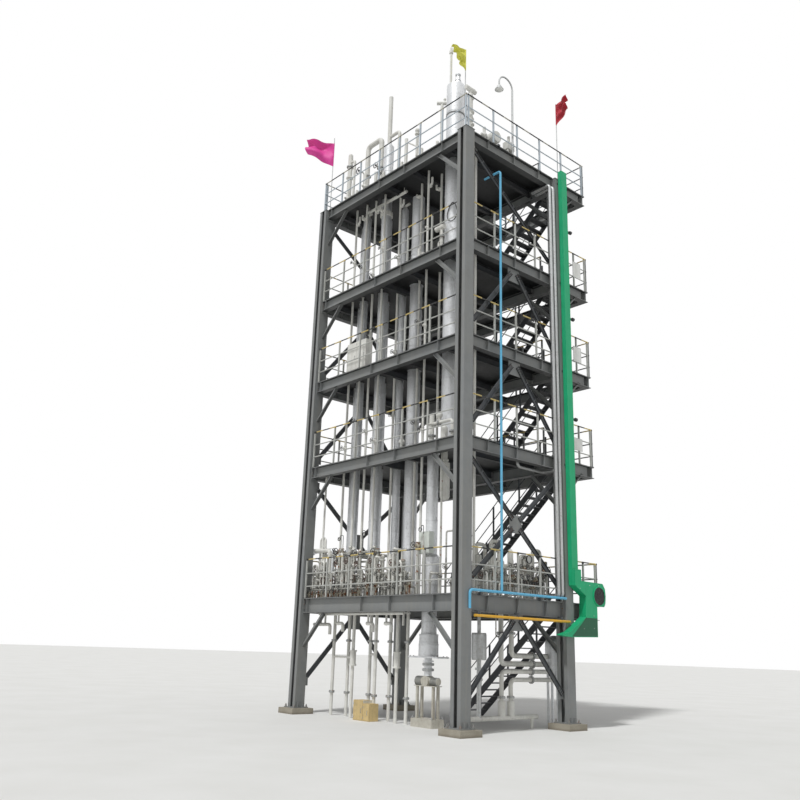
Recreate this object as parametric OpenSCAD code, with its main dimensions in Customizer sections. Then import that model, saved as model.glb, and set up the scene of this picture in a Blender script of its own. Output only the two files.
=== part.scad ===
// Open steel tower of a small distillation unit: four columns on pedestals, five
// plated decks with a stair strip behind, clad process columns, pipes and valves.
// Front face is -Y, the side with the water pipe and the green duct is +X. The origin is
// under the pedestal of the corner between these two faces.

/* [Steel frame] */
// Distance between the column lines along the front
bay_w = 6480; // [5400:20:8000]
// Distance between the column lines, front to back
bay_d = 3860; // [3400:20:5000]
// Reach of the stair strip behind the back column line
strip_d = 1380; // [1300:10:1800]
// Width and depth of a column section
col_s = 330; // [250:10:400]
// Flange thickness of a column
col_flange = 20; // [12:1:30]
// Web thickness of a column
col_web = 14; // [8:1:24]
// Width of the lips on the front and back of a column
col_lip = 110; // [60:5:130]
// Side of a base plate
base_s = 480; // [420:10:600]
// Thickness of a base plate
base_t = 30; // [15:1:50]
// Side of a concrete pedestal
ped_s = 700; // [620:10:900]
// Height of a concrete pedestal
ped_h = 150; // [80:10:400]
// Side of the closing plate on a column top
cap_s = 350; // [340:10:420]

/* [Decks] */
// Top of deck 1 over the pedestals
deck_1 = 2990; // [2700:10:3400]
// Top of deck 2 over the pedestals
deck_2 = 6830; // [6200:10:7200]
// Top of deck 3 over the pedestals
deck_3 = 9540; // [9200:10:10000]
// Top of deck 4 over the pedestals
deck_4 = 12280; // [11800:10:12800]
// Top of the roof deck over the pedestals
deck_5 = 15580; // [15000:10:16200]
// Thickness of the deck plate
plate_t = 10; // [6:1:16]
// Depth of an edge beam
beam_h = 320; // [250:5:400]
// Depth of the deeper edge beam of deck 1
beam_h1 = 400; // [300:5:500]
// Flange width of an edge beam
beam_w = 200; // [140:5:240]
// Flange thickness of an edge beam
beam_flange = 14; // [8:1:24]
// Web thickness of an edge beam
beam_web = 10; // [6:1:16]
// Depth of a joist
joist_h = 200; // [140:5:240]
// Flange width of a joist
joist_w = 110; // [80:5:150]
// Flange thickness of a joist
joist_flange = 10; // [6:1:16]
// Web thickness of a joist
joist_web = 8; // [5:1:12]
// Clear ring round a column or pipe where it passes a deck
deck_gap = 25; // [10:5:60]

/* [Braces] */
// Leg of a knee brace, measured along the column
knee_leg = 900; // [500:20:1200]
// Width of a knee brace section
knee_s = 110; // [80:5:160]
// Width of a side brace section
brace_s = 130; // [90:5:200]
// Thickness of the brace plates
brace_t = 12; // [8:1:20]
// Leg of the brace channel
brace_d = 40; // [30:2:45]
// Half width of a gusset plate
gusset_s = 230; // [160:10:320]
// Thickness of a gusset plate
gusset_t = 16; // [8:1:24]
// Length of a gusset from the column web
foot_plate = 340; // [250:10:450]
// Height over the pedestal at which the lowest braces meet the columns
brace_foot = 700; // [400:20:1200]

/* [Handrails] */
// Height of the top rail over a deck
rail_h = 1100; // [1000:10:1200]
// Number of rails in a fence, the top rail included
rail_n = 3; // [2:1:4]
// Radius of a rail tube
rail_r = 17; // [15:1:30]
// Width of a rail post
post_s = 42; // [35:1:70]
// Farthest distance between two posts
post_step = 1050; // [800:20:1800]
// Distance of a fence from the outer flange edge
rail_inset = 25; // [25:5:40]

/* [Stair] */
// Slope of the flights in degrees
stair_pitch = 42; // [36:1:48]
// Width over the stringers
stair_w = 800; // [700:10:900]
// Distance of a flight from the back column line
stair_off = 330; // [300:10:400]
// Head of every flight, measured from the middle of the bay
stair_head = 2500; // [1800:20:2700]
// Aimed height of one step
step_h = 200; // [170:5:230]
// Depth of a tread
tread_d = 225; // [180:5:230]
// Thickness of a tread
tread_t = 30; // [20:1:50]
// Thickness of a stringer
stringer_t = 12; // [8:1:20]
// Depth of a stringer measured upright
stringer_h = 250; // [180:5:320]
// Least headroom over a flight under a deck
headroom = 2050; // [1900:10:2200]

/* [Process columns] */
// Radius of the main column over its cladding
main_r = 275; // [220:5:380]
// Height of the main column over the roof deck
main_top = 2600; // [1500:10:3400]
// Radius of the second column
second_r = 190; // [150:5:260]
// Wall of the clad shells
shell_t = 12; // [6:1:20]
// Height of the neck on the main column
neck_h = 380; // [200:10:500]
// Radius of the neck
neck_r = 115; // [60:5:140]

/* [Pipes] */
// Radius of the thin white risers by the stair
conduit_r = 50; // [30:2:80]
// Radius of the light blue water pipe
water_r = 32; // [20:1:50]
// Radius of the yellow gas pipe
gas_r = 32; // [20:1:50]
// Radius of a process pipe
pipe_r = 55; // [35:1:80]
// Radius of a thin upright pipe
thin_r = 35; // [20:1:50]
// Width of the green duct along the side
duct_w = 250; // [180:10:320]
// Depth of the green duct away from the tower
duct_d = 130; // [90:10:200]
// Depth of the fan case under the duct
case_d = 220; // [150:10:300]

/* [View] */
// Piece to draw

/* [Hidden] */
$fn = 48;
eps = 0.3;
levels = [for (d = [deck_1, deck_2, deck_3, deck_4, deck_5]) d + ped_h];
depths = [beam_h1, beam_h, beam_h, beam_h, beam_h];
hx = bay_w / 2;
hy = bay_d / 2;
front = -hy;
col_foot = ped_h + base_t;
edge_x = hx + beam_w / 2;
edge_y = hy + beam_w / 2;
strip_y = hy + strip_d;
well_y = hy + stair_off - 80;
slope = tan(stair_pitch);
stair_rail_h = 900;
floors = [0, levels[0], levels[1], levels[2], levels[3]];
rises = [for (k = [0:4]) levels[k] - floors[k]];
feet = [for (k = [0:4]) stair_head - rises[k] / slope];
wells = [for (k = [0:4]) feet[k] + max(0, rises[k] - headroom - plate_t) / slope];
roof = levels[4];
under_roof = roof - plate_t - beam_h;
main_at = [1860, front + 930];
main_foot = levels[1] + 60;
main_head = roof + main_top;
slim_foot = levels[0] + 250;
second_foot = levels[0] + 350;
second_head = roof - beam_h;
second_at = [-30, front + 1230];
skirt_h = 380;
skirt_r = second_r + 55;
slim_at = [[-2150, front + 880, 130, under_roof], [-1240, front + 930, 160, roof + 2000],
    [-1700, front + 1370, 150, under_roof - 60], [-2640, front + 1170, 110, under_roof - 90],
    [-780, front + 1330, 110, under_roof - 60]];
thin_at = [[-2400, front + 630], [-1880, front + 630], [-1480, front + 680], [-960, front + 630],
    [-560, front + 930], [330, front + 1030], [1010, front + 680], [1155, front + 1080],
    [hx - 290, front + 700]];
thin_head = roof - plate_t;
tall_at = [slim_at[1][0], slim_at[1][1]];
tall_r = 70;
pole_r = 14;
pole_left = [-hx + 60, -hy + 60];
pole_right = [hx - 10, hy + 200];
loop_r = 85;
fine_r = 45;
low_sets = [[-2730, front + 430, 800], [-2260, front + 450, 620], [-2100, front + 650, 1250],
    [-960, front + 510, 760], [-60, front + 500, 700], [700, front + 530, 900],
    [1560, front + 480, 650], [hx - 280, front + 1030, 700]];
stubs = [[-2200, 200, 1500], [-1500, 300, 1300], [-3000, front + 1110, 1150],
    [-1320, front + 480, 900]];
vessel_at = [1290, front + 830];
vessel_r = 155;
sleeve_r = 235;
sleeve_top = levels[0] + 990;
boot_at = [1760, front + 830];
boot_r = 130;
boot_z = levels[1] - 1270;
reboiler_at = [1320, front + 780];
reboiler_r = 250;
reboiler_z = ped_h + 1520;
reboiler_h = 310;
collar_h = 230;
outlet_r = 95;
pump_r = 125;
pump_z = ped_h + 1050;
vent_at = [main_at[0] - 225, main_at[1]];
neck_at = [main_at[0] + 90, main_at[1]];
vent_top = main_head + 1610;
vent_r = 36;
pole_top = [main_at[0] + (main_r + pole_r - eps) * cos(45), main_at[1] + (main_r + pole_r - eps) * sin(45)];
pole_foot = main_head - 650;
pole_head = main_head + 1410;
ground_at = [[-2450, front + 630], [-1960, front + 780], [-1560, front + 630],
    [-1060, front + 830], [-590, front + 630], [-280, front + 880], [230, front + 680],
    [520, front + 780]];
upper_sets = [[240 - hx, front + 370, 1150], [-1950, front + 290, 1330], [-1470, front + 290, 1380],
    [-1010, front + 290, 1250], [-500, front + 370, 1330], [-60, front + 330, 1050],
    [380, front + 370, 1200], [760, front + 330, 900]];
side_sets = [[-1080, 1250], [-560, 1380], [560, 1100], [1060, 1300]];
valve_y = front + 430;
wheel_y = front + 240;
wheel_reach = 142;
side_x = 2600;
header_z = 280;
tank_r = 240;
tank_h = 620;
tank_z = 1440;
tank_y = 2330;
duct_x = hx + col_s / 2 + 15;
duct_y = hy - 40;
drum_z = levels[0] + 420;
duct_foot = 420;
service_x = hx + col_s / 2 + water_r + 4;
conduit_y = [hy - 450, hy - 290];
gas_z = levels[0] - plate_t - beam_h1 - 90;
branch_z = levels[1] - plate_t - beam_h - 60;
branch_y = 440;
joist_at = [340 - hx, -440, 720, hx - 890];
uprights = concat(
    [[main_at[0], main_at[1], main_r, levels[1], main_head]],
    [[second_at[0], second_at[1], second_r, levels[0], second_head]],
    [for (p = slim_at) [p[0], p[1], p[2], levels[0], p[3]]],
    [for (p = thin_at) [p[0], p[1], thin_r, levels[0], thin_head]]
);

steel = [0.34, 0.35, 0.36];
steel_dark = [0.20, 0.21, 0.22];
galv = [0.72, 0.73, 0.72];
clad = [0.80, 0.81, 0.82];
concrete = [0.66, 0.62, 0.54];

// Rotation that carries the axes to x, y and z
function turn(x, y, z) = abs(x[2]) > 0.999
    ? [x[2] < 0 ? atan2(y[0], z[0]) : atan2(-y[0], -z[0]), x[2] < 0 ? 90 : -90, 0]
    : [atan2(y[2], z[2]), -asin(x[2]), atan2(x[1], x[0])];
function unit(v) = v / norm(v);

// Round bar from a to b
module bar(a, b, r) {
    d = b - a;
    translate(a)
        rotate([0, acos(d[2] / norm(d)), atan2(d[1], d[0])])
            cylinder(r = r, h = norm(d));
}

// Quarter bend at the corner p, coming along u and leaving along w
module bend(p, u, w, r, c) {
    translate(p - u * c + w * c)
        rotate(turn(-w, u, cross(-w, u)))
            rotate_extrude(angle = 90)
                translate([c, 0])
                    circle(r = r);
}

// Pipe through square corners with bends of centre radius c
module pipe_run(pts, r, c) {
    n = len(pts);
    for (i = [0:n - 2]) {
        u = unit(pts[i + 1] - pts[i]);
        bar(pts[i] + u * (i > 0 ? c : 0), pts[i + 1] - u * (i < n - 2 ? c : 0), r);
    }
    if (n > 2)
        for (i = [1:n - 2])
            bend(pts[i], unit(pts[i] - pts[i - 1]), unit(pts[i + 1] - pts[i]), r, c);
}

// Flange pair of radius r round a vertical pipe at height z
module flange(at, z, r, t) {
    translate([at[0], at[1], z])
        cylinder(r = r, h = t);
}

// Rolled section of length l along X, its top at z 0
module i_beam(l, h, w, tf, tw) {
    translate([0, -w / 2, -tf])
        cube([l, w, tf]);
    translate([0, -w / 2, -h])
        cube([l, w, tf]);
    translate([0, -tw / 2, -h])
        cube([l, tw, h]);
}

// Channel between two points of a plane x = const, its web on that plane
module flat_brace(a, b, w, t) {
    d = b - a;
    translate(a)
        rotate([atan2(d[2], d[1]), 0, 0]) {
            translate([0, 0, -w / 2])
                cube([t, norm(d), w]);
            for (z = [-w / 2, w / 2 - t])
                translate([0, 0, z])
                    cube([brace_d, norm(d), t]);
        }
}

// Carries what is laid out round the middle of the bay over to the corner origin
module placed() {
    translate([-hx, hy, 0])
        children();
}

module corners() {
    for (x = [-hx, hx], y = [-hy, hy])
        translate([x, y, 0])
            children();
}

module pedestals() {
    placed() color(concrete)
        corners()
            translate([-ped_s / 2, -ped_s / 2, 0])
                cube([ped_s, ped_s, ped_h]);
}

module columns() {
    top = levels[4] - plate_t;
    placed() color(steel)
        corners() {
            translate([-base_s / 2, -base_s / 2, ped_h])
                cube([base_s, base_s, base_t]);
            for (s = [-1, 1])
                translate([s * (col_s - col_flange) / 2 - col_flange / 2, -col_s / 2, col_foot - eps])
                    cube([col_flange, col_s, top - col_foot + eps]);
            for (s = [-1, 1], t = [-1, 1])
                translate([s * (col_s - col_lip) / 2 - col_lip / 2,
                    t * (col_s - col_flange) / 2 - col_flange / 2, col_foot - eps])
                    cube([col_lip, col_flange, top - col_foot + eps]);
            translate([-col_s / 2 + eps, -col_web / 2, col_foot - eps])
                cube([col_s - 2 * eps, col_web, top - col_foot + eps]);
            translate([-cap_s / 2, -cap_s / 2, top - eps])
                cube([cap_s, cap_s, plate_t + eps]);
        }
}

module edge_beams() {
    inner = bay_w - col_s;
    placed() color(steel)
        for (k = [0:4])
            translate([0, 0, levels[k] - plate_t]) {
                for (y = [-hy, hy])
                    translate([-inner / 2, y, 0])
                        i_beam(inner, depths[k], beam_w, beam_flange, beam_web);
                translate([-edge_x, strip_y - beam_w / 2, 0])
                    i_beam(2 * edge_x, depths[k], beam_w, beam_flange, beam_web);
            }
}

// Beams of the column rows at the sides, carried on behind as cantilevers
module side_beams() {
    web = hy - col_s / 2;
    reach = strip_y - beam_w - hy - col_s / 2;
    placed() color(steel)
        for (k = [0:4], x = [-hx, hx])
            translate([x, 0, levels[k] - plate_t])
                rotate([0, 0, 90]) {
                    translate([-web, 0, 0])
                        i_beam(2 * web, depths[k], beam_w, beam_flange, beam_web);
                    translate([hy + col_s / 2, 0, 0])
                        i_beam(reach, depths[k], beam_w, beam_flange, beam_web);
                }
}

module joists() {
    placed() color(steel_dark)
        for (k = [0:4])
            translate([0, 0, levels[k] - plate_t]) {
                for (x = joist_at)
                    translate([x, -hy + beam_w / 2, 0])
                        rotate([0, 0, 90])
                            i_beam(bay_d - beam_w, joist_h, joist_w, joist_flange, joist_web);
                for (x = [joist_at[0], wells[k] - joist_w / 2, stair_head + joist_w / 2])
                    translate([x, edge_y, 0])
                        rotate([0, 0, 90])
                            i_beam(strip_d - 1.5 * beam_w, joist_h, joist_w, joist_flange, joist_web);
            }
}

// Holes of deck k round all that passes it
module deck_holes(k) {
    for (p = uprights)
        if (p[3] < levels[k] - 1 && p[4] > levels[k] + 1)
            translate([p[0], p[1], 0])
                cylinder(r = p[2] + deck_gap, h = 3 * plate_t, center = true, $fn = 64);
}

module deck_plates() {
    notch = cap_s + 2 * deck_gap;
    placed() color(steel)
        for (k = [0:4])
            translate([0, 0, levels[k] - plate_t])
                difference() {
                    translate([-edge_x, -edge_y, 0])
                        cube([2 * edge_x, edge_y + well_y, plate_t]);
                    corners()
                        cube([notch, notch, 3 * plate_t], center = true);
                    deck_holes(k);
                }
}

module strip_plates() {
    placed() color(steel)
        for (k = [0:4])
            translate([0, well_y, levels[k] - plate_t]) {
                translate([-edge_x, 0, 0])
                    cube([edge_x + wells[k], strip_y - well_y, plate_t]);
                translate([stair_head, 0, 0])
                    cube([edge_x - stair_head, strip_y - well_y, plate_t]);
            }
}

// Square knee in the plane of the front, leaning to a column line at x 0
module knee(reach, h) {
    l = norm([reach, h]);
    a = atan2(h, reach);
    rotate([0, -a, 0]) {
        translate([0, -knee_s / 2, -knee_s / 2])
            cube([l, knee_s, brace_t]);
        translate([0, -brace_t / 2, -knee_s / 2])
            cube([l, brace_t, knee_s]);
    }
}

module knee_braces() {
    foot_x = hx - col_s / 2;
    placed() color(steel)
        for (k = [0:4], s = [-1, 1], y = [-hy, hy]) {
            under = levels[k] - plate_t - depths[k];
            translate([s * foot_x, y, 0])
                mirror([s > 0 ? 1 : 0, 0, 0])
                    difference() {
                        translate([0, 0, under - knee_leg])
                            knee(knee_leg, knee_leg);
                        translate([-knee_leg, -knee_leg, under - 2 * knee_leg])
                            cube([knee_leg, 2 * knee_leg, 3 * knee_leg]);
                        translate([-eps, -knee_leg, under])
                            cube([3 * knee_leg, 2 * knee_leg, knee_leg]);
                    }
        }
}

// Lowest and highest brace points of storey k
function low_z(k) = k == 0 ? ped_h + brace_foot : levels[k - 1] + 300;
function high_z(k) = levels[k] - plate_t - depths[k] - 160;
mid_z = (low_z(1) + high_z(1)) / 2;
brace_y = hy - 200;

// Braces of one side in the plane x = 0, chevrons, a cross and one diagonal
module side_frame() {
    for (k = [0, 2, 3], s = [-1, 1])
        flat_brace([0, s * 110, high_z(k) + 30], [0, s * brace_y, low_z(k)], brace_s, brace_t);
    for (s = [-1, 1], z = [low_z(1), high_z(1)])
        flat_brace([0, s * 130, mid_z + 130 * (z - mid_z) / brace_y], [0, s * brace_y, z],
            brace_s, brace_t);
    flat_brace([0, -brace_y, high_z(4)], [0, brace_y, low_z(4)], brace_s, brace_t);
}

// Plates in the plane x = 0 that carry the brace ends
module side_gussets() {
    for (k = [0, 2, 3])
        translate([-gusset_t / 2, -gusset_s, high_z(k) - gusset_s])
            cube([gusset_t, 2 * gusset_s, gusset_s + 160]);
    translate([-gusset_t / 2, -gusset_s, mid_z - gusset_s])
        cube([gusset_t, 2 * gusset_s, 2 * gusset_s]);
    web = hy - col_web / 2;
    for (k = [0:3], s = [-1, 1])
        translate([-gusset_t / 2, s < 0 ? -web : web - foot_plate, low_z(k) - gusset_s / 2])
            cube([gusset_t, foot_plate, gusset_s]);
    for (s = [-1, 1])
        translate([-gusset_t / 2, s < 0 ? -web : web - foot_plate, high_z(1) - gusset_s / 2])
            cube([gusset_t, foot_plate, gusset_s]);
    translate([-gusset_t / 2, -web, high_z(4) - gusset_s / 2])
        cube([gusset_t, foot_plate, gusset_s]);
    translate([-gusset_t / 2, web - foot_plate, low_z(4) - gusset_s / 2])
        cube([gusset_t, foot_plate, gusset_s]);
}

module side_braces() {
    placed() color(steel_dark)
        for (m = [0, 1])
            mirror([m, 0, 0])
                translate([hx + gusset_t / 2, 0, 0])
                    side_frame();
}

module gussets() {
    placed() color(steel_dark)
        for (x = [-hx, hx])
            translate([x, 0, 0])
                side_gussets();
}

// Flat fence of length l along X, standing at z 0
module fence(l) {
    n = ceil(l / post_step);
    for (i = [0:n])
        translate([i * (l - post_s) / n, -post_s / 2, 0])
            cube([post_s, post_s, rail_h]);
    for (j = [1:rail_n])
        translate([post_s / 2, 0, j * rail_h / rail_n - (j == rail_n ? 0 : 40)])
            rotate([0, 90, 0])
                cylinder(r = rail_r, h = l - post_s);
}

module front_rails() {
    y = -edge_y + rail_inset;
    inner = bay_w - col_s - 60;
    placed() color(galv)
        for (k = [0:4])
            translate([k < 4 ? -inner / 2 : -edge_x + rail_inset, y, levels[k]])
                fence(k < 4 ? inner : 2 * (edge_x - rail_inset));
}

module side_fence() {
    mid = bay_d - col_s - 60;
    back = strip_y - rail_inset - 60;
    for (k = [0:3])
        translate([0, 0, levels[k]]) {
            translate([0, -mid / 2, 0])
                rotate([0, 0, 90])
                    fence(mid);
            translate([0, hy + col_s / 2 + 30, 0])
                rotate([0, 0, 90])
                    fence(back - hy - col_s / 2 - 30);
        }
    translate([0, -edge_y + rail_inset + 60, levels[4]])
        rotate([0, 0, 90])
            fence(back + edge_y - rail_inset - 60);
}

module right_rails() {
    placed() color(galv)
        translate([edge_x - rail_inset, 0, 0])
            side_fence();
}

module left_rails() {
    placed() color(galv)
        translate([-edge_x + rail_inset, 0, 0])
            side_fence();
}

module back_rails() {
    l = 2 * (edge_x - rail_inset);
    placed() color(steel_dark)
        for (k = [0:4])
            translate([-l / 2, strip_y - rail_inset, levels[k]])
                fence(l);
}

module well_rails() {
    placed() color(steel_dark) {
        for (k = [0:4])
            translate([wells[k], well_y - 40, levels[k]])
                fence(stair_head - wells[k]);
        translate([wells[4] - 40, well_y + 30, levels[4]])
            rotate([0, 0, 90])
                fence(strip_y - well_y - 160);
    }
}

// Flight k drawn in the plane of its slope, its side at y 0
module stringer(k) {
    rotate([90, 0, 0])
        linear_extrude(height = stringer_t)
            polygon([
                [feet[k] - 20 / slope, floors[k]],
                [feet[k] + (stringer_h - 20) / slope, floors[k]],
                [stair_head, levels[k] - stringer_h + 20],
                [stair_head, levels[k] + 20]
            ]);
}

module stair_stringers() {
    placed() color(steel_dark)
        for (k = [0:4], y = [stringer_t, stair_w])
            translate([0, hy + stair_off + y, 0])
                stringer(k);
}

module stair_treads() {
    inner = stair_w - 2 * stringer_t;
    placed() color(steel_dark)
        for (k = [0:4]) {
            n = round(rises[k] / step_h);
            for (i = [1:n - 1])
                translate([
                    feet[k] + i * (stair_head - feet[k]) / n - 20,
                    hy + stair_off + stringer_t - eps,
                    floors[k] + i * rises[k] / n - tread_t
                ])
                    cube([tread_d, inner + 2 * eps, tread_t]);
        }
}

module stair_rail(k) {
    x0 = feet[k] + 150;
    x1 = stair_head - 60;
    n = ceil((x1 - x0) / (1.25 * post_step));
    w = 40;
    for (i = [0:n]) {
        x = x0 + i * (x1 - x0) / n;
        z = floors[k] + (x - feet[k]) * slope;
        translate([x - w / 2, -w / 2, z + 20 - slope * w / 2])
            difference() {
                cube([w, w, stair_rail_h]);
                translate([w / 2, 1.5 * w, slope * w / 2 - eps])
                    rotate([90, 0, 0])
                        linear_extrude(height = 2 * w)
                            polygon([[-60, -60 * slope], [60, 60 * slope], [60, -200], [-60, -200]]);
            }
    }
    for (h = [0.55 * stair_rail_h, stair_rail_h])
        bar([x0, 0, floors[k] + (x0 - feet[k]) * slope + h],
            [x1, 0, floors[k] + (x1 - feet[k]) * slope + h], rail_r * 0.8);
}

module stair_rails() {
    placed() color(steel_dark)
        for (k = [0:4], y = [stringer_t / 2, stair_w - stringer_t / 2])
            translate([0, hy + stair_off + y, 0])
                stair_rail(k);
}

// Upright shell open at both ends
module shell(at, r, z0, z1) {
    translate([at[0], at[1], z0])
        difference() {
            cylinder(r = r, h = z1 - z0, $fn = 96);
            translate([0, 0, -eps])
                cylinder(r = r - shell_t, h = z1 - z0 + 2 * eps, $fn = 96);
        }
}

module disc(at, r, z, t) {
    translate([at[0], at[1], z])
        cylinder(r = r, h = t, $fn = 96);
}

module main_column() {
    placed() color(clad)
        shell(main_at, main_r, main_foot, main_head);
}

module second_column() {
    placed() color(clad)
        shell(second_at, second_r, second_foot, second_head);
}

module slim_columns() {
    placed() color(clad)
        for (p = slim_at)
            shell(p, p[2], slim_foot, p[3]);
}

module thin_risers() {
    placed() color(clad)
        for (p = thin_at) {
            bar([p[0], p[1], levels[0]], [p[0], p[1], thin_head], thin_r);
            disc(p, thin_r + 30, levels[0], 20);
        }
}

// Clad vessel between decks 1 and 2, its lower half in a wide sleeve
module deck_vessel() {
    placed() color(clad) {
        shell(vessel_at, vessel_r, levels[0] + 300, levels[1] - plate_t - 60);
        shell(vessel_at, sleeve_r, levels[0] + 300, sleeve_top);
        translate([vessel_at[0], vessel_at[1], sleeve_top - eps])
            difference() {
                cylinder(r1 = sleeve_r, r2 = vessel_r + 20, h = 80, $fn = 96);
                translate([0, 0, -1])
                    cylinder(r = vessel_r - shell_t / 2, h = 90, $fn = 96);
            }
    }
}

// White vessel with round ends that hangs under deck 2
module hung_vessel() {
    boot_h = 880;
    placed() color(clad) {
        disc(boot_at, boot_r, boot_z, boot_h);
        translate([boot_at[0], boot_at[1], boot_z])
            sphere(r = boot_r);
        disc(boot_at, boot_r / 2, boot_z + boot_h - eps, levels[1] - plate_t - boot_z - boot_h + eps);
        disc(boot_at, boot_r / 2 + 30, boot_z + boot_h + 60, 40);
    }
}

module reboiler() {
    placed() color(clad)
        shell(reboiler_at, reboiler_r, reboiler_z, reboiler_z + reboiler_h);
}

// Shallow cone that closes the main column
module head_cone() {
    dome_h = 110;
    translate([main_at[0], main_at[1], main_head + 40 - eps])
        cylinder(r1 = main_r - 20, r2 = 60, h = dome_h, $fn = 96);
}

module column_heads() {
    placed() color(galv) {
        disc(main_at, main_r, main_head, 40);
        head_cone();
        translate([neck_at[0], neck_at[1], main_head + 40 - eps])
            cylinder(r1 = neck_r, r2 = neck_r / 2, h = neck_h);
        disc(neck_at, neck_r / 2 + 25, main_head + 40 + neck_h - 2 * eps, 24);
        disc(second_at, second_r, second_head, 30);
        for (p = slim_at)
            translate([p[0], p[1], p[3]])
                cylinder(r1 = p[2], r2 = p[2] * 0.55, h = 120, $fn = 96);
        disc(vessel_at, vessel_r + 30, levels[1] - plate_t - 60, 60);
        disc(reboiler_at, reboiler_r - 10, reboiler_z + reboiler_h, collar_h);
        disc(reboiler_at, reboiler_r - 55, reboiler_z + reboiler_h + collar_h - eps,
            levels[0] - plate_t - reboiler_z - reboiler_h - collar_h + eps);
    }
}

module column_feet() {
    placed() color(galv) {
        disc(main_at, main_r + 40, levels[1], main_foot - levels[1]);
        translate([second_at[0], second_at[1], levels[0]])
            cylinder(r1 = second_r + 70, r2 = second_r, h = second_foot - levels[0], $fn = 96);
        for (k = [2, 3])
            translate([second_at[0], second_at[1], levels[k]])
                difference() {
                    cylinder(r1 = skirt_r, r2 = second_r + 8, h = skirt_h, $fn = 96);
                    translate([0, 0, -eps])
                        cylinder(r = second_r, h = skirt_h + 2 * eps, $fn = 96);
                }
        for (p = slim_at)
            disc(p, p[2] + 15, levels[0], slim_foot - levels[0]);
        disc(vessel_at, sleeve_r - 15, levels[0], 300);
        translate([reboiler_at[0] - 540, reboiler_at[1] - 200, reboiler_z - 40])
            cube([1080, 400, 40]);
        translate([reboiler_at[0], reboiler_at[1], pump_z])
            cylinder(r = outlet_r, h = reboiler_z - 40 - pump_z + eps);
        disc(reboiler_at, outlet_r + 40, reboiler_z - 40 - 90, 30);
    }
}

// Pump under the reboiler, its motor and its stand
module reboiler_pump() {
    motor_r = 105;
    plinth_h = 200;
    bed_z = pump_r - pump_z;
    placed() color([0.78, 0.79, 0.78])
        translate([reboiler_at[0], reboiler_at[1], pump_z - pump_r]) {
            translate([0, -pump_r, 0])
                rotate([-90, 0, 0])
                    cylinder(r = pump_r + eps, h = 2 * pump_r);
            bar([-390, 0, 0], [0, 0, 0], motor_r);
            bar([0, 0, 0], [390, 0, 0], motor_r * 0.8);
            translate([-380, -210, bed_z])
                cube([760, 420, plinth_h]);
            for (x = [-320, 260], y = [-110, 50])
                translate([x, y, bed_z + plinth_h - eps])
                    cube([60, 60, -bed_z - plinth_h - motor_r - 14]);
            translate([-380, -130, -motor_r - 15])
                cube([760, 260, 20]);
        }
}

// Relief valve stack of height h
module relief_valve(at, h) {
    bar([at[0], at[1], roof], [at[0], at[1], roof + h], fine_r);
    for (z = [0.45, 0.64])
        flange(at, roof + z * h, fine_r + 45, 36);
    for (z = [0.54, 0.88])
        translate([at[0], at[1], roof + z * h])
            sphere(r = fine_r + 38);
    bar([at[0], at[1] - 170, roof + h], [at[0], at[1] + 170, roof + h], fine_r + 20);
}

module roof_pipes() {
    stub = [290 - hx, front + 630];
    stub_r = 80;
    stub_z = roof + 2330;
    side_z = roof + 2050;
    loop = [-2490, -1770, front + 1030];
    loop_z = roof + 2640;
    arm = [-730, tall_at[1]];
    arm_z = roof + 2380;
    slope_from = [-380, main_at[1], roof + 1800];
    slope_to = [390, main_at[1], roof + 1170];
    ball = [145, main_at[1]];
    ball_z = roof + 1960;
    tee = [1260, main_at[1]];
    tee_z = roof + 2380;
    placed() color(clad) {
        bar([stub[0], stub[1], roof], [stub[0], stub[1], stub_z], stub_r);
        translate([stub[0], stub[1], stub_z])
            sphere(r = stub_r);
        flange(stub, roof + 1450, stub_r + 40, 40);
        pipe_run([[stub[0] + stub_r - 5, stub[1], side_z], [stub[0] + 250, stub[1], side_z],
            [stub[0] + 250, stub[1], roof]], fine_r, 80);
        pipe_run([[loop[0], loop[2], roof], [loop[0], loop[2], loop_z], [loop[1], loop[2], loop_z],
            [loop[1], loop[2], roof]], loop_r, 150);
        for (x = [loop[0], loop[1]])
            flange([x, loop[2]], roof + 700, loop_r + 45, 60);
        pipe_run([[tall_at[0] + tall_r, arm[1], arm_z], [arm[0], arm[1], arm_z],
            [arm[0], arm[1], roof]], pipe_r, 110);
        bar([slope_from[0], slope_from[1], roof], slope_from + [0, 0, 100], pipe_r);
        bar(slope_from, slope_to, thin_r * 0.7);
        bar([slope_to[0], slope_to[1], roof], slope_to, thin_r);
        translate(slope_to)
            sphere(r = thin_r);
        bar([ball[0], ball[1], roof], [ball[0], ball[1], ball_z], fine_r);
        flange(ball, ball_z - 150, fine_r + 35, 40);
        translate([ball[0], ball[1], ball_z])
            sphere(r = fine_r + 30);
        bar([tee[0], tee[1], roof], [tee[0], tee[1], tee_z], fine_r);
        bar([tee[0] - 110, tee[1] - 115, tee_z], [tee[0] + 160, tee[1] + 165, tee_z], fine_r + 12);
        bar([tee[0] + 60, tee[1] + 60, tee_z], [tee[0] + 60, tee[1] + 60, tee_z + 130], thin_r * 0.6);
        translate([tee[0] + 60, tee[1] + 60, tee_z + 140])
            sphere(r = fine_r);
        relief_valve([2480, front + 980], 2200);
        relief_valve([2720, front + 670], 1960);
        for (p = stubs)
            bar([p[0], p[1], roof], [p[0], p[1], roof + p[2]], pipe_r);
    }
}

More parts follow.
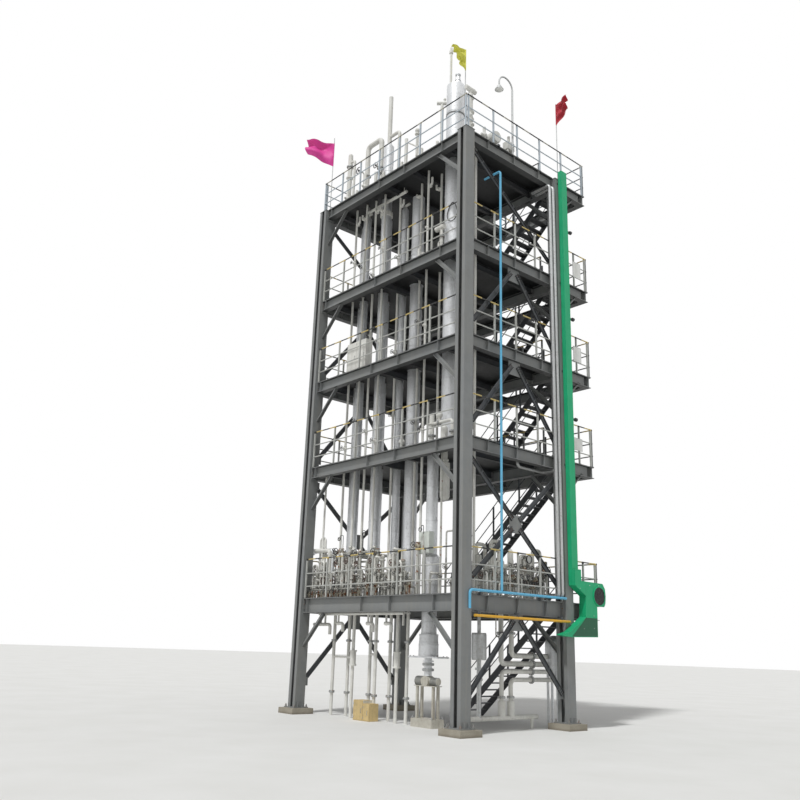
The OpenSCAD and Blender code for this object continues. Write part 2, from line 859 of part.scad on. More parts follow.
// Small plant that stands on the roof deck: low valves, a round drum and a cream box
module roof_plant() {
    drum_r = 190;
    drum_l = 620;
    drum_at = [hx - 890, -445, roof + 570];
    box_at = [hx - 400, 30, roof + 420];
    box_size = [200, 300, 250];
    placed() color(clad) {
        translate([drum_at[0], drum_at[1], drum_at[2]])
            rotate([0, 90, 0])
                cylinder(r = drum_r, h = drum_l);
        for (x = [0, drum_l])
            translate([drum_at[0] + x, drum_at[1], drum_at[2]])
                difference() {
                    sphere(r = drum_r);
                    translate([x > 0 ? 90 : -90 - drum_r, -drum_r, -drum_r])
                        cube([drum_r, 2 * drum_r, 2 * drum_r]);
                }
        for (x = [90, 450])
            translate([drum_at[0] + x, drum_at[1] - 120, roof])
                cube([80, 240, drum_at[2] - roof - drum_r + 60]);
        translate(box_at)
            cube(box_size);
        for (x = [20, box_size[0] - 70], y = [20, box_size[1] - 70])
            translate([box_at[0] + x, box_at[1] + y, roof])
                cube([50, 50, box_at[2] - roof + eps]);
        bar(box_at + [130, 120, box_size[2] - eps], box_at + [130, 120, box_size[2] + 200], fine_r);
        for (p = low_sets) {
            bar([p[0], p[1], roof], [p[0], p[1], roof + p[2]], fine_r);
            flange(p, roof + 0.3 * p[2], fine_r + 45, 36);
            translate([p[0], p[1], roof + 0.62 * p[2]])
                sphere(r = fine_r + 40);
            bar([p[0], p[1] - 130, roof + 0.62 * p[2]], [p[0], p[1] + 130, roof + 0.62 * p[2]],
                thin_r);
        }
    }
}

// Tall pipe on the slim column that passes the roof, and the vent of the main column
module roof_vents() {
    placed() color(clad)
        bar([tall_at[0], tall_at[1], slim_at[1][3] + 120 - eps],
            [tall_at[0], tall_at[1], roof + 3950], tall_r);
    placed() color(galv)
        difference() {
            union() {
                disc(vent_at, vent_r, main_head + 40, vent_top - main_head - 40);
                disc(vent_at, vent_r + 24, vent_top - 200, 90);
                disc(vent_at, vent_r + 20, main_head + 210, 40);
            }
            head_cone();
        }
}

module ground_pipes() {
    placed() color(clad) {
        for (p = ground_at)
            bar([p[0], p[1], 0], [p[0], p[1], levels[0] - plate_t], 45);
        for (p = [[ground_at[0], ground_at[2], 1560], [ground_at[3], ground_at[4], 1660]])
            bar([p[0][0], p[0][1], p[2]], [p[1][0], p[1][1], p[2]], 30);
        for (p = [ground_at[2], ground_at[6]]) {
            disc(p, 85, 1380, 330);
            for (z = [1340, 1710])
                disc(p, 105, z, 40 + eps);
        }
        difference() {
            for (p = [[290, tank_z + 110], [685, tank_z + 310]])
                pipe_run([[side_x - 130, p[0], levels[0] - plate_t], [side_x - 130, p[0], p[1]],
                    [side_x - 130, tank_y, p[1]]], 65, 130);
            tank_body();
        }
    }
}

// Pipes and channels that hang under the front of deck 1
module hung_pipes() {
    hung_z = levels[0] - 430;
    row_y = front + 290;
    placed() color(clad) {
        for (y = [row_y + 110, row_y + 200])
            bar([-2750, y, hung_z], [-1900 - 20 * (y + 1440), y, hung_z], thin_r);
        bar([-2750, row_y, hung_z], [900, row_y, hung_z], fine_r);
        pipe_run([[-3000, row_y, hung_z - 290], [-2230, row_y, hung_z - 290],
            [-2230, row_y, hung_z - 560]], fine_r, 80);
        for (x = [-1640, -330, 420])
            pipe_run([[x - 260, row_y, hung_z - 260], [x, row_y, hung_z - 260],
                [x, row_y, hung_z - 480]], fine_r, 80);
        for (x = [-2700, -2490, -1870, -560, 190, 860]) {
            translate([x, row_y - 20, hung_z - 310])
                cube([40, 40, levels[0] - plate_t + 310 - hung_z]);
            translate([x, row_y, hung_z - 15])
                cube([40, 230, 30]);
        }
    }
}

module valve_sets() {
    placed() color(galv) {
        for (p = slim_at) {
            y = valve_y;
            z = levels[0] + 180;
            pipe_run([[p[0], y, levels[0]], [p[0], y, z + 1000], [p[0], p[1] - p[2] + eps, z + 1000]],
                40, 90);
            for (h = [60, 560])
                flange([p[0], y], z + h, 90, 30);
            translate([p[0], y, z + 320])
                sphere(r = 85);
            bar([p[0], y, z + 320], [p[0], wheel_y + 8, z + 320], 16);
        }
        for (p = upper_sets) {
            bar([p[0], p[1], levels[0]], [p[0], p[1], levels[0] + p[2]], thin_r);
            for (h = [0.3, 0.55, 0.9])
                flange(p, levels[0] + h * p[2], thin_r + 34, 30);
            translate([p[0], p[1], levels[0] + 0.42 * p[2]])
                sphere(r = thin_r + 34);
            translate([p[0], p[1], levels[0] + p[2]])
                sphere(r = thin_r + 24);
            bar([p[0], p[1], levels[0] + 0.72 * p[2]],
                [p[0], p[1] - wheel_reach + 8, levels[0] + 0.72 * p[2]], 14);
        }
    }
}

// Loops of pipe with valves along the inside of the side fence on deck 1
module side_valves() {
    x = hx - 340;
    w = 300;
    placed() color(galv)
        for (p = side_sets) {
            pipe_run([[x, p[0], levels[0]], [x, p[0], levels[0] + p[1]],
                [x, p[0] + w, levels[0] + p[1]], [x, p[0] + w, levels[0]]], fine_r, 90);
            for (y = [0, w], h = [0.2, 0.55])
                flange([x, p[0] + y], levels[0] + h * p[1], fine_r + 35, 30);
            translate([x, p[0], levels[0] + 0.38 * p[1]])
                sphere(r = fine_r + 38);
            bar([x, p[0], levels[0] + 0.38 * p[1]],
                [x + wheel_reach - 8, p[0], levels[0] + 0.38 * p[1]], 16);
        }
}

// Large elbow pipe that leaves the tower over the left fence
module corner_pipe() {
    r = 60;
    at = [-2395, front + 370, levels[0] + 1380];
    placed() color(clad) {
        pipe_run([[-edge_x - 90, at[1], at[2]], at, [at[0], at[1], levels[0]]], r, 140);
        flange(at, levels[0], r + 40, 40);
        bar([-edge_x - 90, at[1], at[2]], [-edge_x - 50, at[1], at[2]], r + 40);
    }
}

module handwheels() {
    placed() color([0.7, 0.2, 0.15]) {
        for (p = slim_at)
            translate([p[0], wheel_y, levels[0] + 500])
                rotate([90, 0, 0])
                    wheel(100);
        for (p = upper_sets)
            translate([p[0], p[1] - wheel_reach, levels[0] + 0.72 * p[2]])
                rotate([90, 0, 0])
                    wheel(75);
        for (p = side_sets)
            translate([hx - 340 + wheel_reach, p[0], levels[0] + 0.38 * p[1]])
                rotate([90, 0, 90])
                    wheel(85);
    }
}

// Handwheel of rim radius r with its hub round the axis
module wheel(r) {
    rotate_extrude()
        translate([r, 0])
            circle(r = 11);
    translate([0, 0, -8])
        cylinder(r = 28, h = 16);
    for (a = [0:120:240])
        rotate([0, 90, a])
            cylinder(r = 7, h = r);
}

module ground_header() {
    placed() color(clad)
        difference() {
            union() {
                bar([side_x, -1300, header_z], [side_x, 1500, header_z], 60);
                for (y = [-1100, 1300])
                    bar([side_x, y, 0], [side_x, y, header_z], 45);
                for (p = [[160, tank_z - 70], [500, tank_z - 270]]) {
                    bar([side_x, p[0], header_z], [side_x, p[0], header_z + 390], 95);
                    pipe_run([[side_x, p[0], header_z + 390], [side_x, p[0], p[1]],
                        [side_x, tank_y, p[1]], [side_x, tank_y, tank_z + 60]], pipe_r, 130);
                }
            }
            tank_body();
        }
}

// Upright vessel over the header pipe, its outlet below and its inlet from deck 1
module ground_vessel() {
    at = [side_x, -655];
    r = 185;
    low = 1700;
    high = 2200;
    placed() color(galv)
        difference() {
            union() {
                disc(at, r, low, high - low);
                for (z = [low, high])
                    translate([at[0], at[1], z])
                        difference() {
                            sphere(r = r);
                            translate([-r, -r, z > low ? 70 : -70 - r])
                                cube([2 * r, 2 * r, r]);
                        }
                bar([at[0], at[1], header_z], [at[0], at[1], low], pipe_r);
                bar([at[0], at[1], high], [at[0], at[1], levels[0] - plate_t], 45);
                flange(at, low - 300, pipe_r + 40, 50);
            }
            bar([side_x, -1300, header_z], [side_x, 1500, header_z], 60);
        }
}

module tank_body() {
    translate([side_x - 60, tank_y, tank_z]) {
        cylinder(r = tank_r, h = tank_h, $fn = 96);
        for (z = [0, tank_h])
            translate([0, 0, z])
                sphere(r = tank_r, $fn = 96);
    }
}

module ground_tank() {
    placed() color(clad) {
        tank_body();
        for (a = [60:90:330])
            translate([side_x - 60, tank_y, 0])
                rotate([0, 0, a])
                    translate([tank_r - 50, 0, 0])
                        cylinder(r = thin_r, h = tank_z + 50);
    }
}

// Valve stand and filter on deck 2, goose neck and small valves on deck 4
module deck_plant() {
    stand = [1640, front + 430];
    neck = [1800, front + 510];
    tail_z = levels[3] + 400;
    placed() color(clad) {
        bar([stand[0], stand[1], levels[1]], [stand[0], stand[1], levels[1] + 890], 70);
        flange(stand, levels[1] + 600, 110, 36);
        pipe_run([[stand[0], stand[1], levels[1] + 620], [stand[0] + 780, stand[1], levels[1] + 620],
            [stand[0] + 780, stand[1], levels[1]]], fine_r, 90);
        translate([stand[0] + 280, stand[1], levels[1] + 820])
            sphere(r = 95);
        bar([stand[0] + 280, stand[1], levels[1] + 620], [stand[0] + 280, stand[1], levels[1] + 820],
            fine_r);
        bar([stand[0] + 480, stand[1], levels[1]], [stand[0] + 480, stand[1], levels[1] + 420], 90);
        translate([stand[0] + 480, stand[1], levels[1] + 420])
            sphere(r = 90);
        bar([150, front + 680, levels[1]], [150, front + 680, levels[1] + 620], fine_r);
        translate([150, front + 680, levels[1] + 420])
            sphere(r = 90);
        bar([neck[0], neck[1], levels[3]], [neck[0], neck[1], levels[3] + 1010], fine_r);
        bar([neck[0] - 230, neck[1], levels[3] + 1010], [neck[0] + 110, neck[1], levels[3] + 1010], 80);
        pipe_run([[neck[0], neck[1], tail_z + 180], [neck[0] - 120, neck[1], tail_z + 180],
            [neck[0] - 120, neck[1], tail_z], [neck[0] - 640, neck[1], tail_z],
            [neck[0] - 640, neck[1], levels[3]]], 32, 55);
        for (p = [[800, 700], [980, 520]]) {
            bar([p[0], front + 550, levels[3]], [p[0], front + 550, levels[3] + p[1]], fine_r);
            translate([p[0], front + 550, levels[3] + 0.55 * p[1]])
                sphere(r = 85);
        }
    }
}

module cabinets() {
    placed() color([0.85, 0.85, 0.82]) {
        translate([-1900, 140 - hy, levels[2]])
            cube([900, 250, 1000]);
        translate([-1000, -hy + 285, 0])
            cube([400, 300 + eps, 500]);
        translate([-600 - eps, -hy + 285, 0])
            cube([260, 300 + eps, 430]);
        translate([vessel_at[0] - 150, vessel_at[1] - vessel_r - 150 + eps, levels[0] + 1080])
            cube([400, 150, 550]);
    }
}

module green_duct() {
    placed() color([0.05, 0.55, 0.35])
        translate([duct_x, duct_y, drum_z + duct_foot])
            cube([duct_d, duct_w, levels[4] + 240 - drum_z - duct_foot]);
}

// Fan case, spout and hood under the duct, one outline
module duct_mouth() {
    placed() color([0.05, 0.55, 0.35])
        translate([duct_x, duct_y, drum_z])
            rotate([90, 0, 90])
                linear_extrude(height = case_d)
                    polygon([
                        [0, duct_foot], [duct_w, duct_foot], [duct_w, 130], [1190, 115],
                        [1290, -20], [1310, -210], [1285, -400], [1230, -480], [910, -480],
                        [910, -700], [900, -1270], [-220, -1300], [-560, -1270], [-560, -1250],
                        [-260, -1180], [420, -780], [440, -240], [0, 10]
                    ]);
}

module conduits() {
    x = edge_x + 15 + conduit_r;
    top = levels[4] - plate_t - beam_h - conduit_r;
    low = levels[0] + conduit_r + 70;
    inner = hx - 290;
    placed() color([0.9, 0.9, 0.88]) {
        for (y = conduit_y)
            pipe_run([[inner, y, levels[0]], [inner, y, low], [x, y, low], [x, y, top],
                [hx - 500, y, top]], conduit_r, 100);
        pipe_run([[x, conduit_y[0], branch_z], [inner, conduit_y[0], branch_z],
            [inner, branch_y, branch_z], [inner, branch_y, levels[1] - plate_t]],
            conduit_r - 10, 100);
    }
}

module water_pipe() {
    placed() color([0.35, 0.65, 0.85])
        pipe_run([[service_x, -750, levels[0] + 80 + water_r - eps],
            [service_x, -750, levels[4] - 900], [hx - 400, -750, levels[4] - 900]], water_r, 90);
}

module water_branch() {
    placed() color([0.35, 0.65, 0.85])
        pipe_run([[service_x, 1740, levels[0] + 80], [service_x, -1860, levels[0] + 80],
            [service_x, -1860, levels[0] - 350]], water_r, 90);
}

module gas_pipe() {
    placed() color([0.9, 0.75, 0.1])
        bar([service_x, -1700, gas_z], [service_x, 1880, gas_z], gas_r);
}

// Small blocks that carry the duct and the service pipes on the side beams
module service_brackets() {
    h = 60;
    placed() color(steel_dark) {
        for (k = [1:4])
            translate([hx + col_s / 2, duct_y - 40, levels[k] - 200])
                cube([duct_x - hx - col_s / 2, duct_w + 80, h]);
        for (k = [1:4])
            translate([edge_x, -790, levels[k] - plate_t - h])
                cube([service_x - edge_x - water_r + eps, 80, h]);
        for (k = [1:3], y = conduit_y)
            translate([edge_x, y - 40, levels[k] - plate_t - h])
                cube([15 + eps, 80, h]);
        for (y = [-1600, -200, 1500])
            translate([0, y, levels[0] - plate_t - beam_h1]) {
                translate([edge_x, 0, 0])
                    cube([service_x - edge_x + 20, 60, 24]);
                translate([service_x - 20, 0, gas_z + gas_r - eps - levels[0] + plate_t + beam_h1])
                    cube([40, 60, levels[0] - plate_t - beam_h1 - gas_z - gas_r + 2 * eps]);
            }
        for (y = [-1500, 700])
            translate([edge_x, y, levels[0] - plate_t - 20])
                cube([service_x - edge_x, 60, 110 - water_r + eps]);
    }
}

module roof_lamp() {
    at = [edge_x - 130, 50];
    mast_h = 2325;
    arc_r = 290;
    drop = 120;
    placed() color(galv) {
        bar([at[0], at[1], roof], [at[0], at[1], roof + mast_h], 30);
        translate([at[0], at[1] - arc_r, roof + mast_h - eps])
            rotate([90, 0, 90])
                rotate_extrude(angle = 180)
                    translate([arc_r, 0])
                        circle(r = 24);
        bar([at[0], at[1] - 2 * arc_r, roof + mast_h - drop],
            [at[0], at[1] - 2 * arc_r, roof + mast_h], 24);
        translate([at[0], at[1] - 2 * arc_r, roof + mast_h - drop - 150])
            cylinder(r1 = 130, r2 = 40, h = 160);
    }
}

module flag_poles() {
    placed() color(galv) {
        for (p = [pole_left, pole_right])
            bar([p[0], p[1], roof], [p[0], p[1], roof + 2900], pole_r);
        bar([pole_top[0], pole_top[1], pole_foot], [pole_top[0], pole_top[1], pole_head], pole_r);
    }
}

module magenta_flag() {
    placed() color([0.85, 0.1, 0.6])
        translate([pole_left[0], pole_left[1], roof + 2090])
            rotate([0, 0, 220])
                translate([pole_r - eps, -8, 0])
                    cube([950, 16, 790]);
}

module yellow_flag() {
    h = 620;
    placed() color([0.9, 0.85, 0.1])
        translate([pole_top[0], pole_top[1], pole_head - h - 15])
            rotate([0, 0, 270])
                translate([pole_r - eps, -8, 0])
                    cube([600, 16, h]);
}

module red_flag() {
    placed() color([0.85, 0.1, 0.1])
        translate([pole_right[0], pole_right[1], roof + 2130])
            rotate([0, 0, -14])
                translate([pole_r - eps, -8, 0])
                    cube([720, 16, 760]);
}

pedestals();
columns();
edge_beams();
side_beams();
joists();
deck_plates();
strip_plates();
knee_braces();
side_braces();
gussets();
front_rails();
right_rails();
left_rails();
back_rails();
well_rails();
stair_stringers();
stair_treads();
stair_rails();
main_column();
second_column();
slim_columns();
deck_vessel();
reboiler();
column_heads();
column_feet();
thin_risers();
reboiler_pump();
roof_pipes();
roof_plant();
roof_vents();
valve_sets();
side_valves();
corner_pipe();
handwheels();
deck_plant();
hung_pipes();
hung_vessel();
ground_pipes();
ground_header();
ground_tank();
ground_vessel();
cabinets();
green_duct();
duct_mouth();
conduits();
water_pipe();
water_branch();
gas_pipe();
service_brackets();
roof_lamp();
flag_poles();
magenta_flag();
yellow_flag();
red_flag();
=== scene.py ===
# %% [markdown]
# Distillation column in its steel tower
#
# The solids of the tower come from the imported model: columns, beams, decks, rails, stair,
# process columns and pipes. This script dresses them. It gives every solid a procedural
# finish and adds what is too small for the solids: bolts, flanges, sheet bands, seams,
# valves' small parts, bare boards and the three flags. All sizes are in metres, +Z is up,
# and the front face of the tower is -Y.

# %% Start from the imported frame
import math
import random

import bmesh
import bpy
from mathutils import Matrix, Vector


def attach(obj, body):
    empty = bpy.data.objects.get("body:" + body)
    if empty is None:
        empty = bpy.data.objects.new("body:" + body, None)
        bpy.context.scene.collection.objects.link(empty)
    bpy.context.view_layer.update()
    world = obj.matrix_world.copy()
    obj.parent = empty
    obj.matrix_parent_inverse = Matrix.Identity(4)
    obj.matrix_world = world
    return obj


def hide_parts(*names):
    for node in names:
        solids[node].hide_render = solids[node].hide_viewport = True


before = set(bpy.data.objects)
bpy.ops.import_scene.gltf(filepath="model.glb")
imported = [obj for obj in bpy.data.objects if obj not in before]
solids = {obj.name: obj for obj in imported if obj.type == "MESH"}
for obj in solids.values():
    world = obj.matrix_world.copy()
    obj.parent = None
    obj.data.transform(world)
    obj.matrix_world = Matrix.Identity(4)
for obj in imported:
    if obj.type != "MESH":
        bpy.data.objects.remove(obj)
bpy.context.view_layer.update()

# %% [markdown]
# Places on the tower
#
# The construction is laid out round the middle of the bay, in millimetres, and its origin
# sits under one corner column. A helper carries such a place over to metres in the model,
# so that the numbers in this script are those of the drawing.

# %% Levels and places
HALF_X, HALF_Y = 3240, 1930
DECKS = [3140, 6980, 9690, 12430, 15730]
FLOOR, ROOF = DECKS[0], DECKS[-1]
PLATE = 10
BEAM = [400, 320, 320, 320, 320]
JOISTS = [-2900, -440, 720, 2350]
STRIP_Y = HALF_Y + 1380
EDGE_X, EDGE_Y = HALF_X + 100, HALF_Y + 100
# Columns as x, y and radius, thin risers as x and y.
MAIN = (1860, -1000, 275)
SECOND = (-30, -700, 190)
SLIM = [(-2150, -1050, 130), (-1240, -1000, 160), (-1700, -560, 150), (-2640, -760, 110),
        (-780, -600, 110)]
THIN = [(-2400, -1300), (-1880, -1300), (-1480, -1250), (-960, -1300), (-560, -1000),
        (330, -900), (1010, -1250), (1155, -850), (2950, -1230)]
REBOILER = (1320, -1150)


def at(x, y, z):
    """A place of the drawing, in millimetres round the middle of the bay, in the model."""
    return Vector(((x - HALF_X) / 1000, (y + HALF_Y) / 1000, z / 1000))


print("roof deck at", at(0, 0, ROOF).z, "m")

# %% [markdown]
# Shader maths as plain expressions
#
# A node tree is slow to read when every sum is a node that is added and linked by hand.
# One small class wraps an output socket: sums of wraps add Math nodes by themselves, and
# one method adds any other node, its settings first and then the values or links of its
# sockets. Colours are mixed with Mix nodes, because Math nodes would turn them grey.

# %% The wrap round a socket
class Wire:
    """An output socket that takes part in sums and feeds other nodes."""

    def __init__(self, tree, socket):
        self.tree, self.socket = tree, socket

    def node(self, kind, inputs=None, out=0, **settings):
        made = self.tree.nodes.new(kind)
        for key, value in settings.items():
            setattr(made, key, value)
        for key, value in (inputs or {}).items():
            if isinstance(value, Wire):
                self.tree.links.new(value.socket, made.inputs[key])
            else:
                made.inputs[key].default_value = value
        return Wire(self.tree, made.outputs[out])

    def maths(self, operation, *terms):
        return self.node("ShaderNodeMath", dict(enumerate(terms)), operation=operation)

    def __add__(self, other):
        return self.maths("ADD", self, other)

    def __radd__(self, other):
        return self.maths("ADD", other, self)

    def __sub__(self, other):
        return self.maths("SUBTRACT", self, other)

    def __rsub__(self, other):
        return self.maths("SUBTRACT", other, self)

    def __mul__(self, other):
        return self.maths("MULTIPLY", self, other)

    def __rmul__(self, other):
        return self.maths("MULTIPLY", other, self)

    def __truediv__(self, other):
        return self.maths("DIVIDE", self, other)

    def __rtruediv__(self, other):
        return self.maths("DIVIDE", other, self)

    def __gt__(self, other):
        return self.maths("GREATER_THAN", self, other)

    def __lt__(self, other):
        return self.maths("LESS_THAN", self, other)

    def axis(self, name):
        return self.node("ShaderNodeSeparateXYZ", {0: self}, out="XYZ".index(name))

    def stretched(self, x, y, z):
        return self.node("ShaderNodeVectorMath", {0: self, 1: (x, y, z)}, operation="MULTIPLY")

    def noise(self, scale, detail=4.0, rough=0.55):
        return self.node("ShaderNodeTexNoise",
                         {"Vector": self, "Scale": scale, "Detail": detail, "Roughness": rough})

    def between(self, low, high):
        return self.node("ShaderNodeMapRange", {0: self, 1: low, 2: high, 3: 0.0, 4: 1.0})


def mixed(mask, first, second):
    """first where the mask is 0 and second where it is 1; both are colours."""
    rgba = lambda c: c if isinstance(c, Wire) else (*c[:3], 1)
    return mask.node("ShaderNodeMix", {0: mask, 6: rgba(first), 7: rgba(second)}, out=2,
                     data_type="RGBA")


def tone(red, green, blue):
    """A colour read as it shows on a screen, 0 to 255, turned into light."""
    turn = lambda c: c / 12.92 if c <= 0.04045 else ((c + 0.055) / 1.055) ** 2.4
    return tuple(turn(c / 255) for c in (red, green, blue))


print("tone of mid grey:", [round(c, 3) for c in tone(118, 118, 118)])

# %% [markdown]
# One paint for many pieces
#
# Paint outdoors is never one flat colour. Large soft patches come from weather, thin
# upright streaks from rain, and dust lies in between. The same three noises make all the
# paints of the tower, with other colours and amounts for each. A fine bump breaks the
# gloss, and roughness follows the dust, so that dusty places are duller. Faces that look down can
# be darkened as painted shade.

# %% Paint, dust and streaks
def new_finish(name):
    material = bpy.data.materials.new(name)
    material.use_nodes = True
    tree = material.node_tree
    place = Wire(tree, tree.nodes.new("ShaderNodeTexCoord").outputs["Object"])
    return material, place


def close_finish(material, colour, rough, metal=0.0, bump=None, depth=0.002):
    """Feeds the shader with what varies over the surface and what is the same all over."""
    shader = material.node_tree.nodes["Principled BSDF"]
    links = material.node_tree.links
    for name, value in (("Base Color", colour), ("Roughness", rough), ("Metallic", metal)):
        if isinstance(value, Wire):
            links.new(value.socket, shader.inputs[name])
        else:
            shader.inputs[name].default_value = value
    if bump is not None:
        relief = bump.node("ShaderNodeBump", {"Height": bump, "Distance": depth, "Strength": 0.6})
        links.new(relief.socket, shader.inputs["Normal"])
    print("finish", material.name, "has", len(material.node_tree.nodes), "nodes")
    return material


def weathered(place, colour, dust, amount, streaks, underside_shade=0.0):
    """Colour and a dust mask of a painted face, with painted shade that darkens what faces down."""
    patches = place.noise(0.9).between(0.35, 0.7)
    specks = place.noise(14, detail=6).between(0.45, 0.75)
    rain = place.stretched(9, 9, 0.35).noise(1.2, detail=3).between(0.5, 0.75)
    mask = patches * amount * 0.7 + specks * amount * 0.5 + rain * streaks
    light = tuple(min(1, c * 1.18) for c in colour)
    base = mixed(place.noise(3.1).between(0.3, 0.7), colour, light)
    shade = mixed(mask, base, dust)
    # Painted shade: faces that look down are darkened towards black.
    if underside_shade:
        down = 1 - place.node("ShaderNodeNewGeometry", out="Normal").axis("Z").between(-0.9, -0.35)
        shade = mixed(down * underside_shade, shade, tuple(c * 0.12 for c in colour))
    return shade, mask


def paint(name, colour, dust, amount=0.35, rough=0.45, underside_shade=0.0):
    material, place = new_finish(name)
    shade, mask = weathered(place, colour, dust, amount, 0.3, underside_shade)
    return close_finish(material, shade, mask * 0.35 + rough, 0.0,
                        place.noise(60, detail=5) * 0.6 + mask * 0.4, 0.0015)


# The steel paints are darkened on faces that look down, as painted shade.
steel_grey = paint("steel_grey", tone(122, 125, 126), tone(147, 145, 137), underside_shade=0.92)
# A darker copy of the grey steel paint, as painted shade, for joists, side braces, stair and
# brackets.
steel_dark = paint("steel_dark", tone(66, 70, 75), tone(100, 97, 92), rough=0.5, underside_shade=0.95)
pump_cream = paint("pump_cream", tone(196, 194, 184), tone(140, 130, 112), 0.5)
pipe_white = paint("pipe_white", tone(224, 224, 219), tone(178, 174, 164), rough=0.4)
duct_green = paint("duct_green", tone(6, 164, 110), tone(70, 182, 136), 0.2, 0.5)
water_blue = paint("water_blue", tone(86, 174, 214), tone(150, 190, 205))
gas_yellow = paint("gas_yellow", tone(226, 172, 44), tone(190, 158, 96))
wheel_red = paint("wheel_red", tone(66, 52, 50), tone(120, 92, 76), 0.5)

# %% [markdown]
# Concrete of the pedestals
#
# Cast concrete is pale and pitted, with darker damp edges near the ground. Two noises
# make the cloudy tone and the sand, a Voronoi makes the pits, and the height over the
# ground darkens the foot.

# %% Concrete
def concrete_finish():
    material, place = new_finish("concrete")
    clouds = place.noise(2.2).between(0.3, 0.7)
    sand = place.noise(90, detail=6).between(0.35, 0.65)
    pits = place.node("ShaderNodeTexVoronoi", {"Vector": place, "Scale": 38.0}).between(0.05, 0.22)
    damp = 1 - place.axis("Z").between(0.0, 0.07)
    shade = mixed(clouds, tone(150, 144, 130), tone(178, 172, 158))
    shade = mixed(sand * 0.4, shade, tone(120, 112, 98))
    shade = mixed(damp * 0.6, shade, tone(96, 88, 76))
    return close_finish(material, shade, sand * 0.1 + 0.82, 0.0, pits + sand * 0.3, 0.004)


concrete = concrete_finish()

# %% [markdown]
# Sheet cladding and bare metal pipes
#
# The hot columns and pipes wear a jacket of thin aluminium sheet, put on in lengths of
# about a metre. Each length has its own brightness, and hand rolled sheet is slightly
# wavy. The brightness is picked from the height, sheet by sheet, with a White Noise node,
# and a wide soft bump gives the waves, which break the reflections as real sheet does.

# %% Cladding
def sheet_metal(name, colour, rough, length=1.0, wave=0.006, dull=0.3, metal=0.92):
    material, place = new_finish(name)
    sheet = place.maths("FLOOR", place.axis("Z") / length)
    pick = sheet.node("ShaderNodeTexWhiteNoise", {"W": sheet}, noise_dimensions="1D")
    smear = place.stretched(2.5, 2.5, 0.5).noise(1.6, detail=3).between(0.35, 0.7)
    specks = place.noise(22, detail=5).between(0.5, 0.75)
    shade = mixed(pick * 0.5 + smear * 0.3, colour, tuple(c * 0.78 for c in colour))
    shade = mixed(specks * dull, shade, tone(150, 146, 136))
    waves = place.stretched(1, 1, 0.6).noise(3.2, detail=2)
    return close_finish(material, shade, smear * 0.16 + specks * 0.12 + pick * 0.06 + rough,
                        metal - specks * 0.4, waves, wave)


cladding = sheet_metal("cladding", tone(228, 230, 232), 0.4, metal=0.7)
galvanised = sheet_metal("galvanised", tone(190, 192, 192), 0.42, 3.0, wave=0.0005, dull=0.6)

# %% [markdown]
# Handrails with a warning band
#
# The top rails of the four decks are yellow with black bands of a third of a metre. The
# rails below and the posts are pale grey. On the roof the top rail is black with short
# pale bands. All rails of one side are one solid, so the height over the decks tells the
# finish which rail it is on.

# %% Rails
def rail_finish(name, low, roof_low):
    material, place = new_finish(name)
    height = place.axis("Z")
    along = place.axis("X") + place.axis("Y")
    top = None
    for level in DECKS[:4]:
        rail = (height > level / 1000 + 1.06) * (height < level / 1000 + 1.2)
        top = rail if top is None else top + rail
    roof_rail = height > DECKS[4] / 1000 + 1.06
    yellow = place.maths("FRACT", along / 0.66) > 0.5
    ticks = place.maths("FRACT", along / 0.9) > 0.72
    worn = place.noise(24, detail=6).between(0.5, 0.72)
    shade, dust = weathered(place, low, tone(150, 146, 138), 0.4, 0.2)
    shade = mixed(height > DECKS[4] / 1000, shade, roof_low)
    banded = mixed(yellow, tone(34, 34, 34), tone(206, 184, 116))
    shade = mixed(top * (1 - worn * 0.35), shade, banded)
    shade = mixed(roof_rail, shade, mixed(ticks, tone(36, 38, 42), tone(176, 172, 158)))
    return close_finish(material, shade, dust * 0.3 + 0.4, 0.0, place.noise(70), 0.0008)


rail_grey = rail_finish("rail_grey", tone(182, 184, 180), tone(188, 198, 206))
rail_dark = rail_finish("rail_dark", tone(116, 119, 120), tone(128, 134, 138))

# %% [markdown]
# Deck plate
#
# The walking face of the decks is chequer plate, with small raised lenses that lie in two
# directions in turn. Two wave patterns, turned against each other and cut by a checker,
# give them. A mask from the face's own direction keeps them off the edge and underside.

# %% Chequer plate
def chequer_finish():
    material, place = new_finish("deck_plate")
    up = place.node("ShaderNodeNewGeometry", out="Normal").axis("Z") > 0.5
    cell = place.stretched(28, 28, 0)
    across, along = (place.maths("ABSOLUTE", place.maths("SINE", cell.axis(axis) * math.pi))
                     for axis in "XY")
    lens = [place.maths("POWER", wide, 0.6) * place.maths("POWER", slim, 5.0)
            for wide, slim in ((across, along), (along, across))]
    turn = place.node("ShaderNodeTexChecker", {"Vector": place, "Scale": 28.0}, out="Fac")
    relief = (lens[0] * turn + lens[1] * (1 - turn)) * up
    # A dark grey paint, made darker still as painted shade of the decks seen from below; the last
    # argument darkens faces that look down to near black, also as painted shade.
    shade, dust = weathered(place, tone(71, 75, 78), tone(109, 100, 88), 0.6, 0.0, 0.95)
    shade = mixed(relief * 0.35, shade, tone(116, 116, 114))
    return close_finish(material, shade, dust * 0.3 + 0.5, 0.1, relief, 0.003)


deck_plate = chequer_finish()

# %% [markdown]
# Rusty fittings
#
# The valves and flanges on the first deck are cast pieces with worn cream paint, brown
# with rust at the joints. A sharp ramp over noise makes the rust patches, and they are
# rougher and slightly raised.

